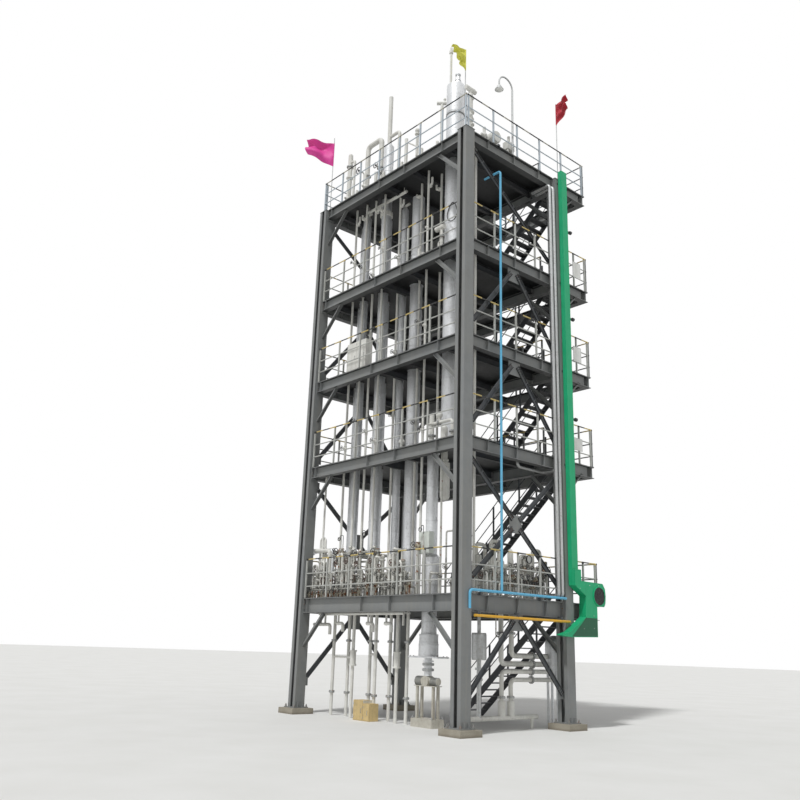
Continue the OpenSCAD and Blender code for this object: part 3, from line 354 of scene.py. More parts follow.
# %% Rusty cast fittings
def rusty_finish(name, colour, share):
    material, place = new_finish(name)
    rust = place.noise(9, detail=8, rough=0.65).between(0.62 - share, 0.68 - share)
    fine = place.noise(40, detail=6).between(0.3, 0.7)
    brown = mixed(fine, tone(96, 56, 34), tone(150, 96, 60))
    shade = mixed(rust, mixed(fine * 0.5, colour, tone(150, 144, 130)), brown)
    return close_finish(material, shade, rust * 0.35 + 0.45, 0.35 - rust * 0.35,
                        rust * 0.5 + fine * 0.5, 0.002)


valve_rusty = rusty_finish("valve_rusty", tone(196, 190, 172), 0.12)
valve_pale = rusty_finish("valve_pale", tone(206, 207, 202), 0.02)
bolt_steel = rusty_finish("bolt_steel", tone(150, 152, 152), 0.10)

# %% [markdown]
# Finishes on the solids
#
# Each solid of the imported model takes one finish. Only the material changes: the solids
# stay where they are.

# %% Hand out the finishes
NODES_IN = [
    (concrete, "pedestals"),
    (steel_grey, "columns edge_beams side_beams knee_braces gussets"),
    (steel_dark, "joists side_braces stair_stringers stair_treads stair_rails service_brackets"),
    (deck_plate, "deck_plates strip_plates"),
    (rail_grey, "front_rails right_rails left_rails"),
    (rail_dark, "back_rails well_rails"),
    (cladding, "main_column second_column slim_columns corner_pipe deck_vessel reboiler"),
    (cladding, "column_heads column_feet ground_tank"),
    (pipe_white, "thin_risers roof_pipes roof_vents roof_plant hung_pipes hung_vessel"),
    (pipe_white, "ground_pipes ground_header deck_plant cabinets"),
    (valve_pale, "valve_sets side_valves"),
    (galvanised, "ground_vessel conduits roof_lamp flag_poles"),
    (duct_green, "green_duct duct_mouth"),
    (pump_cream, "reboiler_pump"),
    (wheel_red, "handwheels"),
    (water_blue, "water_pipe water_branch"),
    (gas_yellow, "gas_pipe"),
]
FINISH_OF = {name: finish for finish, names in NODES_IN for name in names.split()}
for name, solid in solids.items():
    solid.data.materials.clear()
    solid.data.materials.append(FINISH_OF.get(name, galvanised))
    for face in solid.data.polygons:
        face.use_smooth = False
print("replaced by cloth below:", sorted(set(solids) - set(FINISH_OF)))

# %% [markdown]
# Tools for small pieces
#
# Rings, tubes and bolts are all that most fittings need. Each is added to a bmesh, a
# mesh that is built in code, so that hundreds of them become one object with one finish.

# %% Turned shapes
def on_circle(radius, turn, z=0.0):
    return Vector((radius * math.cos(turn), radius * math.sin(turn), z))


def skin(bm, rings, closed=False):
    """Faces from ring to ring. The two ends are capped, or joined if the rings close up."""
    for low, high in zip(rings, rings[1:] + rings[:1] if closed else rings[1:]):
        for i in range(len(low)):
            k = (i + 1) % len(low)
            bm.faces.new((low[i], low[k], high[k], high[i]))
    if not closed:
        bm.faces.new(rings[0][::-1])
        bm.faces.new(rings[-1])


def lathe(bm, place, profile, sides=24):
    """Turns a closed profile of (radius, height) round the Z axis of place."""
    skin(bm, [[bm.verts.new(place @ on_circle(r, 2 * math.pi * i / sides, z)) for r, z in profile]
              for i in range(sides)], closed=True)


def spun(bm, place, profile, sides=24):
    """Turns an open profile whose ends are capped with flat faces."""
    skin(bm, [[bm.verts.new(place @ on_circle(r, 2 * math.pi * i / sides, z))
               for i in range(sides)] for r, z in profile])


def upright(x, y, z):
    return Matrix.Translation(at(x, y, z))


def facing(place, way):
    """A frame at place whose Z axis looks along way."""
    return Matrix.Translation(place) @ Vector(way).to_track_quat("Z", "Y").to_matrix().to_4x4()


trial = bmesh.new()
lathe(trial, upright(0, 0, 0), [(0.1, 0.0), (0.2, 0.0), (0.2, 0.1)])
print("a turned ring with three edges has", len(trial.faces), "faces")
trial.free()


def finished(bm, name, material, smooth=True):
    """The object of a bmesh, riding on the tower, in the slot of its finish."""
    bmesh.ops.recalc_face_normals(bm, faces=bm.faces)
    mesh = bpy.data.meshes.new(name)
    bm.to_mesh(mesh)
    bm.free()
    mesh.materials.append(material)
    piece = bpy.data.objects.new(name, mesh)
    bpy.context.scene.collection.objects.link(piece)
    if smooth:
        mesh.shade_smooth()
        mesh.set_sharp_from_angle(angle=math.radians(35))
    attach(piece, "root")
    print(name, "has", len(mesh.polygons), "faces")
    return piece


# %% [markdown]
# Bands round the cladding
#
# Where two lengths of sheet meet, one is pushed over the other and rolled to a raised
# bead, and a thin strap runs round it. A turned profile of a low double bead gives both.
# The joints are a metre apart.

# %% Sheet bands
def band(bm, x, y, radius, z, wide=0.034):
    r, edge = radius / 1000, wide / 2
    lathe(bm, upright(x, y, z),
          [(r - 0.002, -edge), (r + 0.004, -edge + 0.003), (r + 0.0045, -0.004), (r + 0.008, 0.0),
           (r + 0.0045, 0.004), (r + 0.004, edge - 0.003), (r - 0.002, edge)], 48)


def lap_seam(bm, x, y, radius, low, high, turn):
    """The upright lap of the sheets with a rivet every 200 mm."""
    r, middle, out = radius / 1000, at(x, y, low), on_circle(1, turn)
    side = Vector((-out.y, out.x, 0))
    lap = [middle + out * (r + deep) + side * off for deep, off in
           ((-0.002, -0.014), (0.0025, -0.012), (0.0025, 0.012), (-0.002, 0.014))]
    rise = Vector((0, 0, (high - low) / 1000))
    skin(bm, [[bm.verts.new(p + up) for p in lap] for up in (Vector(), rise)])
    for k in range(int((high - low) / 200)):
        rivet = middle + out * (r + 0.002) + Vector((0, 0, 0.1 + k * 0.2))
        spun(bm, facing(rivet, out), [(0.006, 0), (0.0045, 0.0025)], 6)


# The columns again, with the heights of foot and head.
TALL = [(*MAIN, DECKS[1], ROOF + 2600), (*SECOND, FLOOR, ROOF - 320)] + \
    [(*p, FLOOR, ROOF + 2000 if i == 1 else ROOF - 400) for i, p in enumerate(SLIM)]
SHEET = 1000
LOWEST_BAND = (60, 350, *[250] * len(SLIM))
CLAD = [(x, y, r, low + up, high) for (x, y, r, low, high), up in zip(TALL, LOWEST_BAND)] + \
    [(*REBOILER, 250, 1670, 1980), (1290, -1100, 155, 4210, 6900), (1760, -1100, 130, 5710, 6590),
     (2600, -655, 185, 1700, 2200), (2540, 2330, 240, 1440, 2060)]
bands = bmesh.new()
for x, y, radius, low, high in CLAD:
    joints = int((high - low) / SHEET)
    for i in range(1, joints + 1):
        band(bands, x, y, radius, low + i * (high - low) / (joints + 1))
    lap_seam(bands, x, y, radius, low + 20, high - 20, math.radians(25 + 40 * (radius % 7)))
finished(bands, "cladding_bands", cladding)

# %% [markdown]
# Base plates and their anchors
#
# Every column stands on a plate that four anchor bolts hold to the pedestal, with a bed of
# grout under it. Each bolt carries a washer, two nuts and the bare end of its thread.
# Small upright stiffeners join the plate to the column.

# %% Drum and block
def raised(here, z):
    return here @ Matrix.Translation((0, 0, z))


def drum(bm, place, radius, low, high, sides=24):
    spun(bm, place, [(radius, low), (radius, high)], sides)


def block(bm, low, high, soft=0.0):
    """A box with its upright edges cut off by soft."""
    (x0, y0, z0), (x1, y1, z1) = low, high
    s = min(soft, (x1 - x0) / 3, (y1 - y0) / 3)
    outline = [(x0, y0), (x1, y0), (x1, y1), (x0, y1)] if s <= 0 else \
        [(x0 + s, y0), (x1 - s, y0), (x1, y0 + s), (x1, y1 - s), (x1 - s, y1), (x0 + s, y1),
         (x0, y1 - s), (x0, y0 + s)]
    skin(bm, [[bm.verts.new((x, y, z)) for x, y in outline] for z in (z0, z1)])


print("a drum is raised along its own axis, a block lies along the axes of the tower")

# %% Anchors, grout and stiffeners
def anchor(bm, x, y, z, size=0.024):
    here = upright(x, y, z)
    drum(bm, here, size * 1.5, 0, 0.006, 16)
    for k in range(2):
        spun(bm, raised(here, 0.006 + k * size),
             [(size * 0.9, 0), (size, 0.003), (size, size * 0.85), (size * 0.9, size)], 6)
    spun(bm, raised(here, 0.006 + 2 * size),
         [(size * 0.5, 0), (size * 0.5, size * 0.9), (size * 0.4, size)], 12)


CORNERS = [(x, y) for x in (-HALF_X, HALF_X) for y in (-HALF_Y, HALF_Y)]
bolts, plates, grout = (bmesh.new() for _ in range(3))
for x, y in CORNERS:
    for dx in (-205, 205):
        for dy in (-205, 205):
            anchor(bolts, x + dx, y + dy, 180)
    block(grout, at(x - 262, y - 262, 138), at(x + 262, y + 262, 156), 0.02)
    for low, high in ((-222, -166), (166, 222)):
        for dy in (-80, 80):
            block(plates, at(x + low, y + dy - 5, 179), at(x + high, y + dy + 5, 300))
finished(bolts, "anchor_bolts", bolt_steel)
finished(plates, "foot_stiffeners", steel_grey, smooth=False)
finished(grout, "grout_beds", concrete, smooth=False)

# %% [markdown]
# Bolted beam ends
#
# A beam of such a frame ends in a welded plate, and the plate is bolted to the column with
# two rows of bolts, inside the depth of the beam and either side of its web. The beams of
# the front and back meet a flange of the column, and those of the sides meet its lips.

# %% End plates
# The faces of a corner column lie this far from its middle.
COLUMN_FACE = 165


def bolt(bm, place, way, size):
    """A hexagon head on its washer."""
    here = facing(place, way)
    drum(bm, here, size * 1.15, 0, size * 0.2, 12)
    spun(bm, raised(here, size * 0.2),
         [(size, 0), (size, size * 0.75), (size * 0.85, size * 0.95)], 6)


def end_plate(plates, bolts, x, y, way, top, depth):
    """A plate on a column face at x, y and its bolts; way points from the face to the beam."""
    side = Vector((-way.y, way.x))
    face = Vector((x, y))
    corners = [face + way * off + side * t * 98 for off in (0, 14) for t in (-1, 1)]
    low = [min(c[i] for c in corners) for i in (0, 1)]
    high = [max(c[i] for c in corners) for i in (0, 1)]
    block(plates, at(*low, top - depth - 60), at(*high, top - 2))
    for row in (-60, 60):
        for k in range(4):
            spot = face + way * 14 + side * row
            bolt(bolts, at(*spot, top - 50 - k * (depth - 70) / 3), (*way, 0), 0.013)


plates, bolts = bmesh.new(), bmesh.new()
for level, depth in zip(DECKS, BEAM):
    top = level - PLATE
    for x, y in CORNERS:
        s, t = math.copysign(1, x), math.copysign(1, y)
        end_plate(plates, bolts, x - s * COLUMN_FACE, y, Vector((-s, 0)), top, depth)
        end_plate(plates, bolts, x, y - t * COLUMN_FACE, Vector((0, -t)), top, depth)
        if y > 0:
            end_plate(plates, bolts, x, y + COLUMN_FACE, Vector((0, 1)), top, depth)
finished(plates, "beam_end_plates", steel_grey, smooth=False)
finished(bolts, "beam_bolts", bolt_steel)

# %% [markdown]
# Stiffeners of the beams
#
# Upright plates fill the beams between their flanges wherever a joist or a brace brings
# its load in. They cast short shadows along the web, which give the long beams a rhythm.

# %% Web stiffeners
WEB, LIP_EDGE = 5, 96
ACROSS = [(x, y, 0, 1) for y in (-HALF_Y, HALF_Y, STRIP_Y) for x in JOISTS] + \
    [(x, y, 1, 0) for x in (-HALF_X, HALF_X) for y in (-1100, 0, 1100)]
plates = bmesh.new()
for level, depth in zip(DECKS, BEAM):
    low, high = level - PLATE - depth + 14, level - PLATE - 14
    for x, y, ux, uy in ACROSS:
        for near, far in ((-LIP_EDGE, -WEB), (WEB, LIP_EDGE)):
            block(plates, at(x + ux * near - uy * 4, y + uy * near - ux * 4, low),
                  at(x + ux * far + uy * 4, y + uy * far + ux * 4, high))
finished(plates, "web_stiffeners", steel_grey, smooth=False)

# %% [markdown]
# Bolts of the braces
#
# The side braces end on gusset plates and are held by short rows of bolts that follow the
# slope of the brace. A small flat tie joins the two legs of every channel.

# %% Brace bolts
def low_z(k):
    return 850 if k == 0 else DECKS[k - 1] + 300


def high_z(k):
    return DECKS[k] - PLATE - BEAM[k] - 160


def brace_lines():
    """Ends of the braces of one side as (y, z) pairs, as they were constructed."""
    reach = HALF_Y - 200
    lines = [((s * 110, high_z(k) + 30), (s * reach, low_z(k))) for k in (0, 2, 3) for s in (-1, 1)]
    middle = (low_z(1) + high_z(1)) / 2
    lines += [((s * 130, middle + 130 * (z - middle) / reach), (s * reach, z))
              for s in (-1, 1) for z in (low_z(1), high_z(1))]
    return lines + [((-reach, high_z(4)), (reach, low_z(4)))]


BOLT_STEP, TIE_STEP = 70, 520
bolts, ties = bmesh.new(), bmesh.new()
for side in (-1, 1):
    for a, b in brace_lines():
        start, run = Vector(a), Vector(b) - Vector(a)
        along, length = run.normalized(), run.length
        across = Vector((-along.y, along.x))
        for first in (45, length - 45 - 2 * BOLT_STEP):
            for i in range(3):
                for row in (-28, 28):
                    p = start + along * (first + i * BOLT_STEP) + across * row
                    bolt(bolts, at(side * (HALF_X + 20), p.x, p.y), (side, 0, 0), 0.011)
        turn = Matrix.Rotation(math.atan2(along.y, along.x), 4, "X")
        for i in range(1, int(length / TIE_STEP)):
            p = start + along * (i * TIE_STEP)
            here = Matrix.Translation(at(side * (HALF_X + 48), p.x, p.y)) @ turn
            bmesh.ops.create_cube(ties, size=1.0,
                                  matrix=here @ Matrix.Diagonal((0.004, 0.03, 0.128, 1)))
finished(bolts, "brace_bolts", bolt_steel)
finished(ties, "brace_ties", steel_dark, smooth=False)

# %% [markdown]
# Feet and joints of the handrails
#
# A rail post stands on a small plate with two bolts, and its top is joined to the rail by
# a short sleeve. The same spacing rule as in the construction places them: as many bays
# as keep the posts not more than 1.05 m apart.

# %% Rail feet and sleeves
UP, RIGHT, BACK, FRONT = (0, 0, 1), (1, 0, 0), (0, 1, 0), (0, -1, 0)
RAIL_HEIGHTS = (327, 693, 1100)
# The rails stand inside the edge of the deck, and the side rails end short of the corners.
INSET, END_GAP = 25, 60


def post_places(length, step=1050, wide=42):
    bays = math.ceil(length / step)
    return [wide / 2 + i * (length - wide) / bays for i in range(bays + 1)]


def fences():
    """Start, direction and length of every fence, with its level."""
    front, back, left = -EDGE_Y + INSET, STRIP_Y - INSET, -EDGE_X + INSET
    gap = COLUMN_FACE + 30
    for level in DECKS:
        yield (left, back), (1, 0), -2 * left, level
        if level == ROOF:
            yield (left, front), (1, 0), -2 * left, level
        else:
            yield (gap - HALF_X, front), (1, 0), 2 * (HALF_X - gap), level
        for x in (left, -left):
            if level == ROOF:
                yield (x, front + END_GAP), (0, 1), back - front - 2 * END_GAP, level
            else:
                yield (x, gap - HALF_Y), (0, 1), 2 * (HALF_Y - gap), level
                yield (x, HALF_Y + gap), (0, 1), back - END_GAP - HALF_Y - gap, level


feet, sleeves = bmesh.new(), bmesh.new()
for (x0, y0), (ux, uy), length, level in fences():
    for t in post_places(length):
        x, y = x0 + ux * t, y0 + uy * t
        dx, dy = (52, 30) if ux else (30, 52)
        block(feet, at(x - dx, y - dy, level), at(x + dx, y + dy, level + 8), 0.006)
        for s in (-1, 1):
            bolt(feet, at(x + s * ux * 38, y + s * uy * 38, level + 8), UP, 0.008)
        for h in RAIL_HEIGHTS:
            lathe(sleeves, facing(at(x, y, level + h), (ux, uy, 0)),
                  [(0.016, -0.034), (0.0205, -0.032), (0.0205, 0.032), (0.016, 0.034)], 10)
finished(feet, "rail_feet", rail_dark, smooth=False)
finished(sleeves, "rail_sleeves", rail_dark)

# %% [markdown]
# Collars where pipes pass the decks
#
# Every hole in a deck has a low upright rim, so that nothing rolls down it, and the pipe
# wears a rain collar over it: a shallow cone with a clamp band at its neck.

# %% Deck rims and rain collars
def collar(bm, place, inner, outer, half, sides=24):
    """A plain ring that reaches half up and half down from place."""
    lathe(bm, place, [(inner, -half), (outer, -half), (outer, half), (inner, half)], sides)


rims, cones = bmesh.new(), bmesh.new()
for x, y, radius, low, high in TALL + [(*p, 35, FLOOR, ROOF - PLATE) for p in THIN]:
    r = radius / 1000
    for k, level in enumerate(DECKS):
        if low < level - 1 and high > level + 1:
            collar(rims, upright(x, y, level + 30), r + 0.025, r + 0.031, 0.03, 32)
            if not (x == SECOND[0] and k in (2, 3)):
                lathe(cones, upright(x, y, level + 70),
                      [(r - 0.001, 0.05), (r + 0.003, 0.05), (r + 0.042, -0.004),
                       (r + 0.042, -0.02), (r + 0.039, -0.02), (r + 0.039, -0.006),
                       (r - 0.001, 0.044)], 32)
finished(rims, "deck_rims", steel_grey)
finished(cones, "rain_collars", galvanised)

# %% [markdown]
# Bolted flanges
#
# Two pipe ends meet in a pair of round plates with a thin gasket between them and a ring
# of bolts through both. One function makes the pair for any pipe, in any direction, and
# the parts of a pair go to two meshes: plates in the colour of the pipe, bolts in steel.

# %% Flange pairs
def flange(plates, studs, place, way, inner, outer, count=8, thick=0.018):
    here, half = facing(place, way), thick / 2
    for s in (-1, 1):
        lathe(plates, raised(here, s * (half + 0.002)),
              [(inner, -half), (outer - 0.002, -half), (outer, -half + 0.002),
               (outer, half - 0.002), (outer - 0.002, half), (inner, half)])
    collar(plates, here, inner, outer * 0.86, 0.002)
    ring, size = (inner + outer) / 2 + 0.002, min(0.012, (outer - inner) * 0.3)
    low, high = thick + 0.002, thick + 0.002 + size * 0.9
    for i in range(count):
        spot = here @ Matrix.Translation(on_circle(ring, 2 * math.pi * (i + 0.5) / count))
        drum(studs, spot, size * 0.5, -thick - 0.012, thick + 0.012, 8)
        drum(studs, spot, size, -high, -low, 6)
        drum(studs, spot, size, low, high, 6)


# Way of the pipe, radii of pipe and plate, and places.
FLANGED = [
    (UP, 38, 82, [(x, -1500, FLOOR + 700) for x, _, _ in SLIM]),
    (UP, 79, 125, [(-2950, -1300, ROOF + z) for z in (640, 1900)]),
    (UP, 84, 132, [(x, -900, ROOF + 1500) for x in (-2490, -1770)]),
    (UP, 54, 98, [(-380, -1000, ROOF + 800), (-2200, 200, ROOF + 700), (-1500, 300, ROOF + 600),
                  (-3000, -820, ROOF + 600), (2600, -655, 1180), (2600, 160, 760),
                  (2600, 500, 760)]),
    (UP, 44, 86, [(145, -1000, ROOF + 900), (2480, -950, ROOF + 500), (2720, -1260, ROOF + 420),
                  (2420, -1500, DECKS[1] + 300), (1800, -1420, DECKS[3] + 720)]),
    (UP, 69, 115, [(1640, -1500, DECKS[1] + 300)]),
    (UP, 31, 70, [(1160, -1420, DECKS[3] + 200)]),
    (UP, 64, 110, [(2470, 290, 2300), (2470, 685, 2300)]),
    (UP, 44, 84, [(x, y, z) for z in (620, 2000) for x, y in
                  ((-2450, -1300), (-1960, -1150), (-1060, -1100), (-590, -1300), (-280, -1050),
                   (520, -1150))]),
    (RIGHT, 44, 84, [(1920, -1500, DECKS[1] + 620)]),
    (RIGHT, 59, 104, [(-2800, -1560, FLOOR + 1380)]),
    (BACK, 54, 98, [(2600, 1300, 1370), (2600, 1300, 1170)]),
    (BACK, 64, 110, [(2470, 1500, 1550), (2470, 1500, 1750)]),
]
plates, studs = bmesh.new(), bmesh.new()
for way, inner, outer, spots in FLANGED:
    for spot in spots:
        flange(plates, studs, at(*spot), way, inner / 1000, outer / 1000)
finished(plates, "flange_pairs", galvanised)
finished(studs, "flange_studs", bolt_steel)

# %% [markdown]
# Bands of the reboiler and its bolts
#
# Straps hold the sheet metal of the body and of its collar. The bracket plate under the
# body has a row of bolts along each long edge.

# %% Reboiler bands and bracket bolts
studs, bands = bmesh.new(), bmesh.new()
for r, heights in ((250, (1700, 1955)), (240, (2010, 2185)), (195, (2235, 2500, 2790, 3080))):
    for z in heights:
        band(bands, *REBOILER, r, z, 0.05)
for dx in (-500, -375, 375, 500):
    for dy in (-165, 165):
        bolt(studs, at(REBOILER[0] + dx, REBOILER[1] + dy, 1670), UP, 0.014)
finished(studs, "reboiler_studs", bolt_steel)
finished(bands, "reboiler_bands", cladding)

# %% [markdown]
# Small valves and thin lines
#
# The first deck is crowded with small valves, loops and thin lines. A globe valve is a
# turned body along its line, a bonnet across it and a handwheel on the stem. The same few
# functions make all of them, and the places come from short rules, so that the crowd is
# dense without a long table.

# %% Tubes along a path
def tube(bm, points, radius, sides=10):
    """A round bar along points, its ends capped."""
    points = [Vector(p) for p in points]
    ways = [(b - a).normalized() for a, b in zip(points, points[1:])]
    side = ways[0].orthogonal().normalized()
    rings = []
    for i, p in enumerate(points):
        inside = 0 < i < len(points) - 1
        way = (ways[i - 1] + ways[i]).normalized() if inside else ways[-1 if i else 0]
        side = (side - way * side.dot(way)).normalized()
        up = way.cross(side)
        wide = radius / max(0.5, ways[i - 1].dot(way)) if inside else radius
        rings.append([bm.verts.new(p + (side * math.cos(a) + up * math.sin(a)) * wide)
                      for a in (2 * math.pi * j / sides for j in range(sides))])
    skin(bm, rings)


def rounded(points, reach, steps=5):
    """The points of a path whose corners are rounded off over reach."""
    points = [Vector(p) for p in points]
    out = [points[0]]
    for a, b, c in zip(points, points[1:], points[2:]):
        start, end = b + (a - b).normalized() * reach, b + (c - b).normalized() * reach
        for i in range(steps + 1):
            t = i / steps
            out.append(start * (1 - t) ** 2 + b * 2 * t * (1 - t) + end * t ** 2)
    return out + [points[-1]]


print("a rounded right angle has", len(rounded([(0, 0, 0), (1, 0, 0), (1, 1, 0)], 0.1)), "points")

# %% Valve, wheel, line and gauge
VALVE_BODY = [(0.5, -1.5), (0.9, -1.49), (0.9, -1.25), (0.55, -1.2), (0.95, -0.4)]
VALVE_BODY += [(r, -z) for r, z in reversed(VALVE_BODY)]
BONNET = [(0.5, 0), (0.5, 1.1), (0.75, 1.15), (0.75, 1.4), (0.4, 1.45), (0.2, 1.9),
          (0.12, 1.95), (0.12, 2.75)]


def wheel(bm, place, way, radius):
    here, rim = facing(place, way), radius * 0.13
    lathe(bm, here, [(radius - rim, -rim * 0.6), (radius, -rim), (radius + rim * 0.5, 0),
                     (radius, rim), (radius - rim, rim * 0.6)], 20)
    drum(bm, here, radius * 0.28, -rim, rim, 10)
    for k in range(3):
        tube(bm, [place, here @ on_circle(radius, 2 * math.pi * k / 3)], rim * 0.55, 6)


def valve(body, wheels, place, along, way, size):
    """A globe valve on a line that runs along, its stem and wheel looking along way."""
    s = size / 1000
    spun(body, facing(place, along), [(r * s, z * s) for r, z in VALVE_BODY], 14)
    spun(body, facing(place, way), [(r * s, z * s) for r, z in BONNET], 12)
    wheel(wheels, place + Vector(way).normalized() * s * 2.6, way, s * 1.15)


def line(bm, points, radius, reach=60):
    places = [at(*q) for q in points]
    tube(bm, rounded(places, reach / 1000) if len(places) > 2 else places, radius / 1000)


def stand(bm, x, y, top, radius):
    """A straight line from the first deck up to the height top."""
    line(bm, [(x, y, FLOOR), (x, y, top)], radius)


def pot(bm, x, y, low, tall, radius, leg, cone=0.06):
    """A small vessel with two cone ends on its leg."""
    r, h = radius / 1000, tall / 1000
    spun(bm, upright(x, y, low), [(0.03, -cone), (r, 0), (r, h), (0.03, h + cone)])
    stand(bm, x, y, low, leg)


def gauge(bm, faces, place, way, radius):
    """A round gauge with a bare face."""
    here = facing(place, way)
    lathe(bm, here, [(radius * 0.92, 0), (radius, 0.002), (radius, 0.03), (radius * 0.9, 0.034),
                     (radius * 0.88, 0.028)])
    drum(bm, here, radius * 0.95, -0.004, 0.004)
    drum(faces, raised(here, 0.006), radius * 0.88, 0, 0.004)


dark_iron = paint("dark_iron", tone(44, 46, 50), tone(96, 92, 86), rough=0.5)
white_board = paint("white_board", tone(232, 233, 230), tone(190, 188, 180), 0.3)
print("corners of a valve body's profile:", len(VALVE_BODY))

# %% [markdown]
# Lines and valves along the front of the first deck
#
# Every loop rises from the deck, bends over and comes back down, with one valve on each
# leg. Four long lines pass behind the fence and tie the loops together. Low down the
# fittings are cream and rusty, higher up they are pale or bare metal.

# %% Front of the first deck
rng = random.Random(11)
ROW_Y, POT_Y, LOW_Y = -1500, -1480, -1830
pale, worn, wheels, gauges, faces = (bmesh.new() for _ in range(5))
for i, x in enumerate((-3080, -2820, -2640, -2330, -2010, -1830, -1650, -1370, -1170, -900, -700,
                       -350, -200, 110, 250, 540, 640, 880)):
    y = -1720 + 75 * (i % 3)
    tall, wide = rng.randint(480, 1260), rng.choice((100, 130, 170))
    far, low = x + wide, FLOOR + 0.4 * tall
    line(pale, [(x, y, FLOOR), (x, y, FLOOR + tall), (far, y, FLOOR + tall), (far, y, low),
                (far, y + 170, low), (far, y + 170, FLOOR)], rng.choice((24, 32, 40)))
    valve(worn if i % 5 == 4 else pale, wheels, at(x, y, FLOOR + 0.32 * tall), UP, FRONT,
          rng.choice((46, 52, 60)))
    valve(pale, wheels, at(far, y, FLOOR + 0.72 * tall), UP, (0, -1, 0.2), 48)
for y, z, r in ((-1760, 240, 20), (-1650, 610, 24), (-1480, 980, 30), (-1600, 1230, 22)):
    first, last = (-3120, 940) if z < 900 else (-2950, -250)
    line(pale, [(first, y, FLOOR + z), (last, y, FLOOR + z)], r)
    for x in (first + 40, last - 40):
        stand(pale, x, y, FLOOR + z, r)
    for x in range(first + 300, last - 200, 460):
        collar(pale, facing(at(x, y, FLOOR + z), RIGHT), r / 1000, r / 500, 0.014, 16)
for x in range(-3080, -600, 155):
    stand(worn, x, LOW_Y, FLOOR + 190, 24)
    valve(worn, wheels, at(x, LOW_Y, FLOOR + 100), UP, (0.3, -1, 0.6), rng.choice((34, 42, 50)))
for x in (-480, -120, 1110, 1210):
    stand(worn, x, -1760, FLOOR + 330, 28)
    valve(worn, wheels, at(x, -1760, FLOOR + 260), UP, (0.2, -1, 0.3), 52)
for x, z, size in ((-2060, 3480, 62), (-2060, 3860, 70), (-2060, 4420, 84), (-1190, 4340, 78),
                   (-420, 4330, 74), (1210, 4400, 70)):
    stand(worn if x < -1500 else pale, x, ROW_Y, z, 42)
    valve(worn, wheels, at(x, ROW_Y, z), UP, (0, -1, 0.1), size)
for x, z, r in ((-1370, 4240, 105), (-1270, 3750, 90), (-2230, 4470, 80)):
    stand(pale, x, -1560, z, 26)
    line(pale, [(x, -1560, z), (x, -1660, z)], 20)
    wheel(wheels, at(x, -1660, z), FRONT, r / 1000)
for x, low, tall, r in ((-525, 3890, 460, 68), (90, 3700, 330, 62), (-2870, 3560, 420, 85)):
    pot(pale, x, POT_Y, low, tall, r, 34)
for x, z, dx in ((-2009, 4700, -150), (-1140, 4760, 130), (1410, 4700, -90)):
    stand(pale, x, ROW_Y, z, 14)
    line(wheels, [(x, ROW_Y, z), (x, ROW_Y, z + 230), (x + dx, ROW_Y, z + 230),
                  (x + dx, ROW_Y, z + 150)], 9)
    gauge(gauges, faces, at(x + dx, -1520, z + 120), FRONT, 0.055)
stand(pale, 1850, -1300, DECKS[1] - 10, 28)
line(pale, [(2260, ROW_Y, FLOOR + 1400), (2260, ROW_Y, FLOOR + 1560), (2680, ROW_Y, FLOOR + 1560),
            (2680, ROW_Y, FLOOR)], 22)
line(pale, [(2260, ROW_Y, FLOOR + 1400), (2260, ROW_Y, FLOOR)], 22)
for x, z in ((2080, 620), (2450, 380), (2680, 800), (2260, 900)):
    stand(pale, x, ROW_Y, FLOOR + z, 22)
    valve(pale, wheels, at(x, ROW_Y, FLOOR + 0.75 * z), UP, (0.4, -1, 0), 44)
finished(pale, "front_lines", valve_pale)
finished(worn, "front_valves", valve_rusty)

# %% [markdown]
# White lines of the first deck
#
# Between the valves stand thicker white pipes and small round vessels on legs. The large
# ones stand where they were measured. The small lines could be drawn one by one too, but
# a rule does for them: each rises, steps to one side and to the back, and comes down
# again, with a ring half way up. One thin line goes on to the second deck.

# %% White lines of the first deck
white = bmesh.new()
line(white, [(-2430, -1640, FLOOR), (-2430, -1640, 4500), (-3150, -1640, 4530)], 62, 110)
line(white, [(-3000, -1560, FLOOR), (-3000, -1560, 4880), (-2790, -1560, 4880),
             (-2790, -1560, 3900)], 40, 90)
for x, low, h, r in ((-1520, 4000, 0.44, 92), (-560, 3880, 0.3, 98), (90, 3720, 0.42, 84),
                     (-2110, 3560, 0.38, 70), (-1130, 3380, 0.42, 76)):
    spun(white, upright(x, POT_Y, low), [(0.035, -0.07), (r / 1000, -0.01), (r / 1000, h),
                                         (0.05, h + 0.06), (0.035, h + 0.12)], 28)
    stand(white, x, POT_Y, low, 38)
for y, z in ((-240, 3560), (200, 4020), (620, 3620), (980, 3980)):
    pot(white, 2880, y, z, 300, 75, 30)
for i, x in enumerate((-2960, -2600, -2210, -1740, -1270, -800, -280, 330, 470, 800, 1900)):
    tall, far = 520 + 170 * (i * 3 % 5), x + 120 - 240 * (i % 2)
    line(white, [(x, -1700, FLOOR), (x, -1700, FLOOR + tall), (far, -1700, FLOOR + tall),
                 (far, ROW_Y, FLOOR + tall), (far, ROW_Y, FLOOR)], 30, 70)
    collar(white, upright(x, -1700, FLOOR + 0.6 * tall), 0.03, 0.058, 0.016, 18)
for i, y in enumerate((-900, -640, -60, 380, 1120)):
    top = FLOOR + 560 + 130 * (i % 3)
    line(white, [(3090, y, FLOOR), (3090, y, top), (2960, y, top), (2960, y, FLOOR)], 26)
stand(white, -2810, -1640, DECKS[1] - 8, 30)
finished(white, "front_white_lines", pipe_white)

# %% [markdown]
# Strap and neck of the main column
#
# A dark strap lies round the main column over the roof. Above it the column narrows in
# three steps to its neck, and a band marks each step. The band of the sheet metal serves
# for all four, wider for the strap, since a real strap has the same rolled edges.

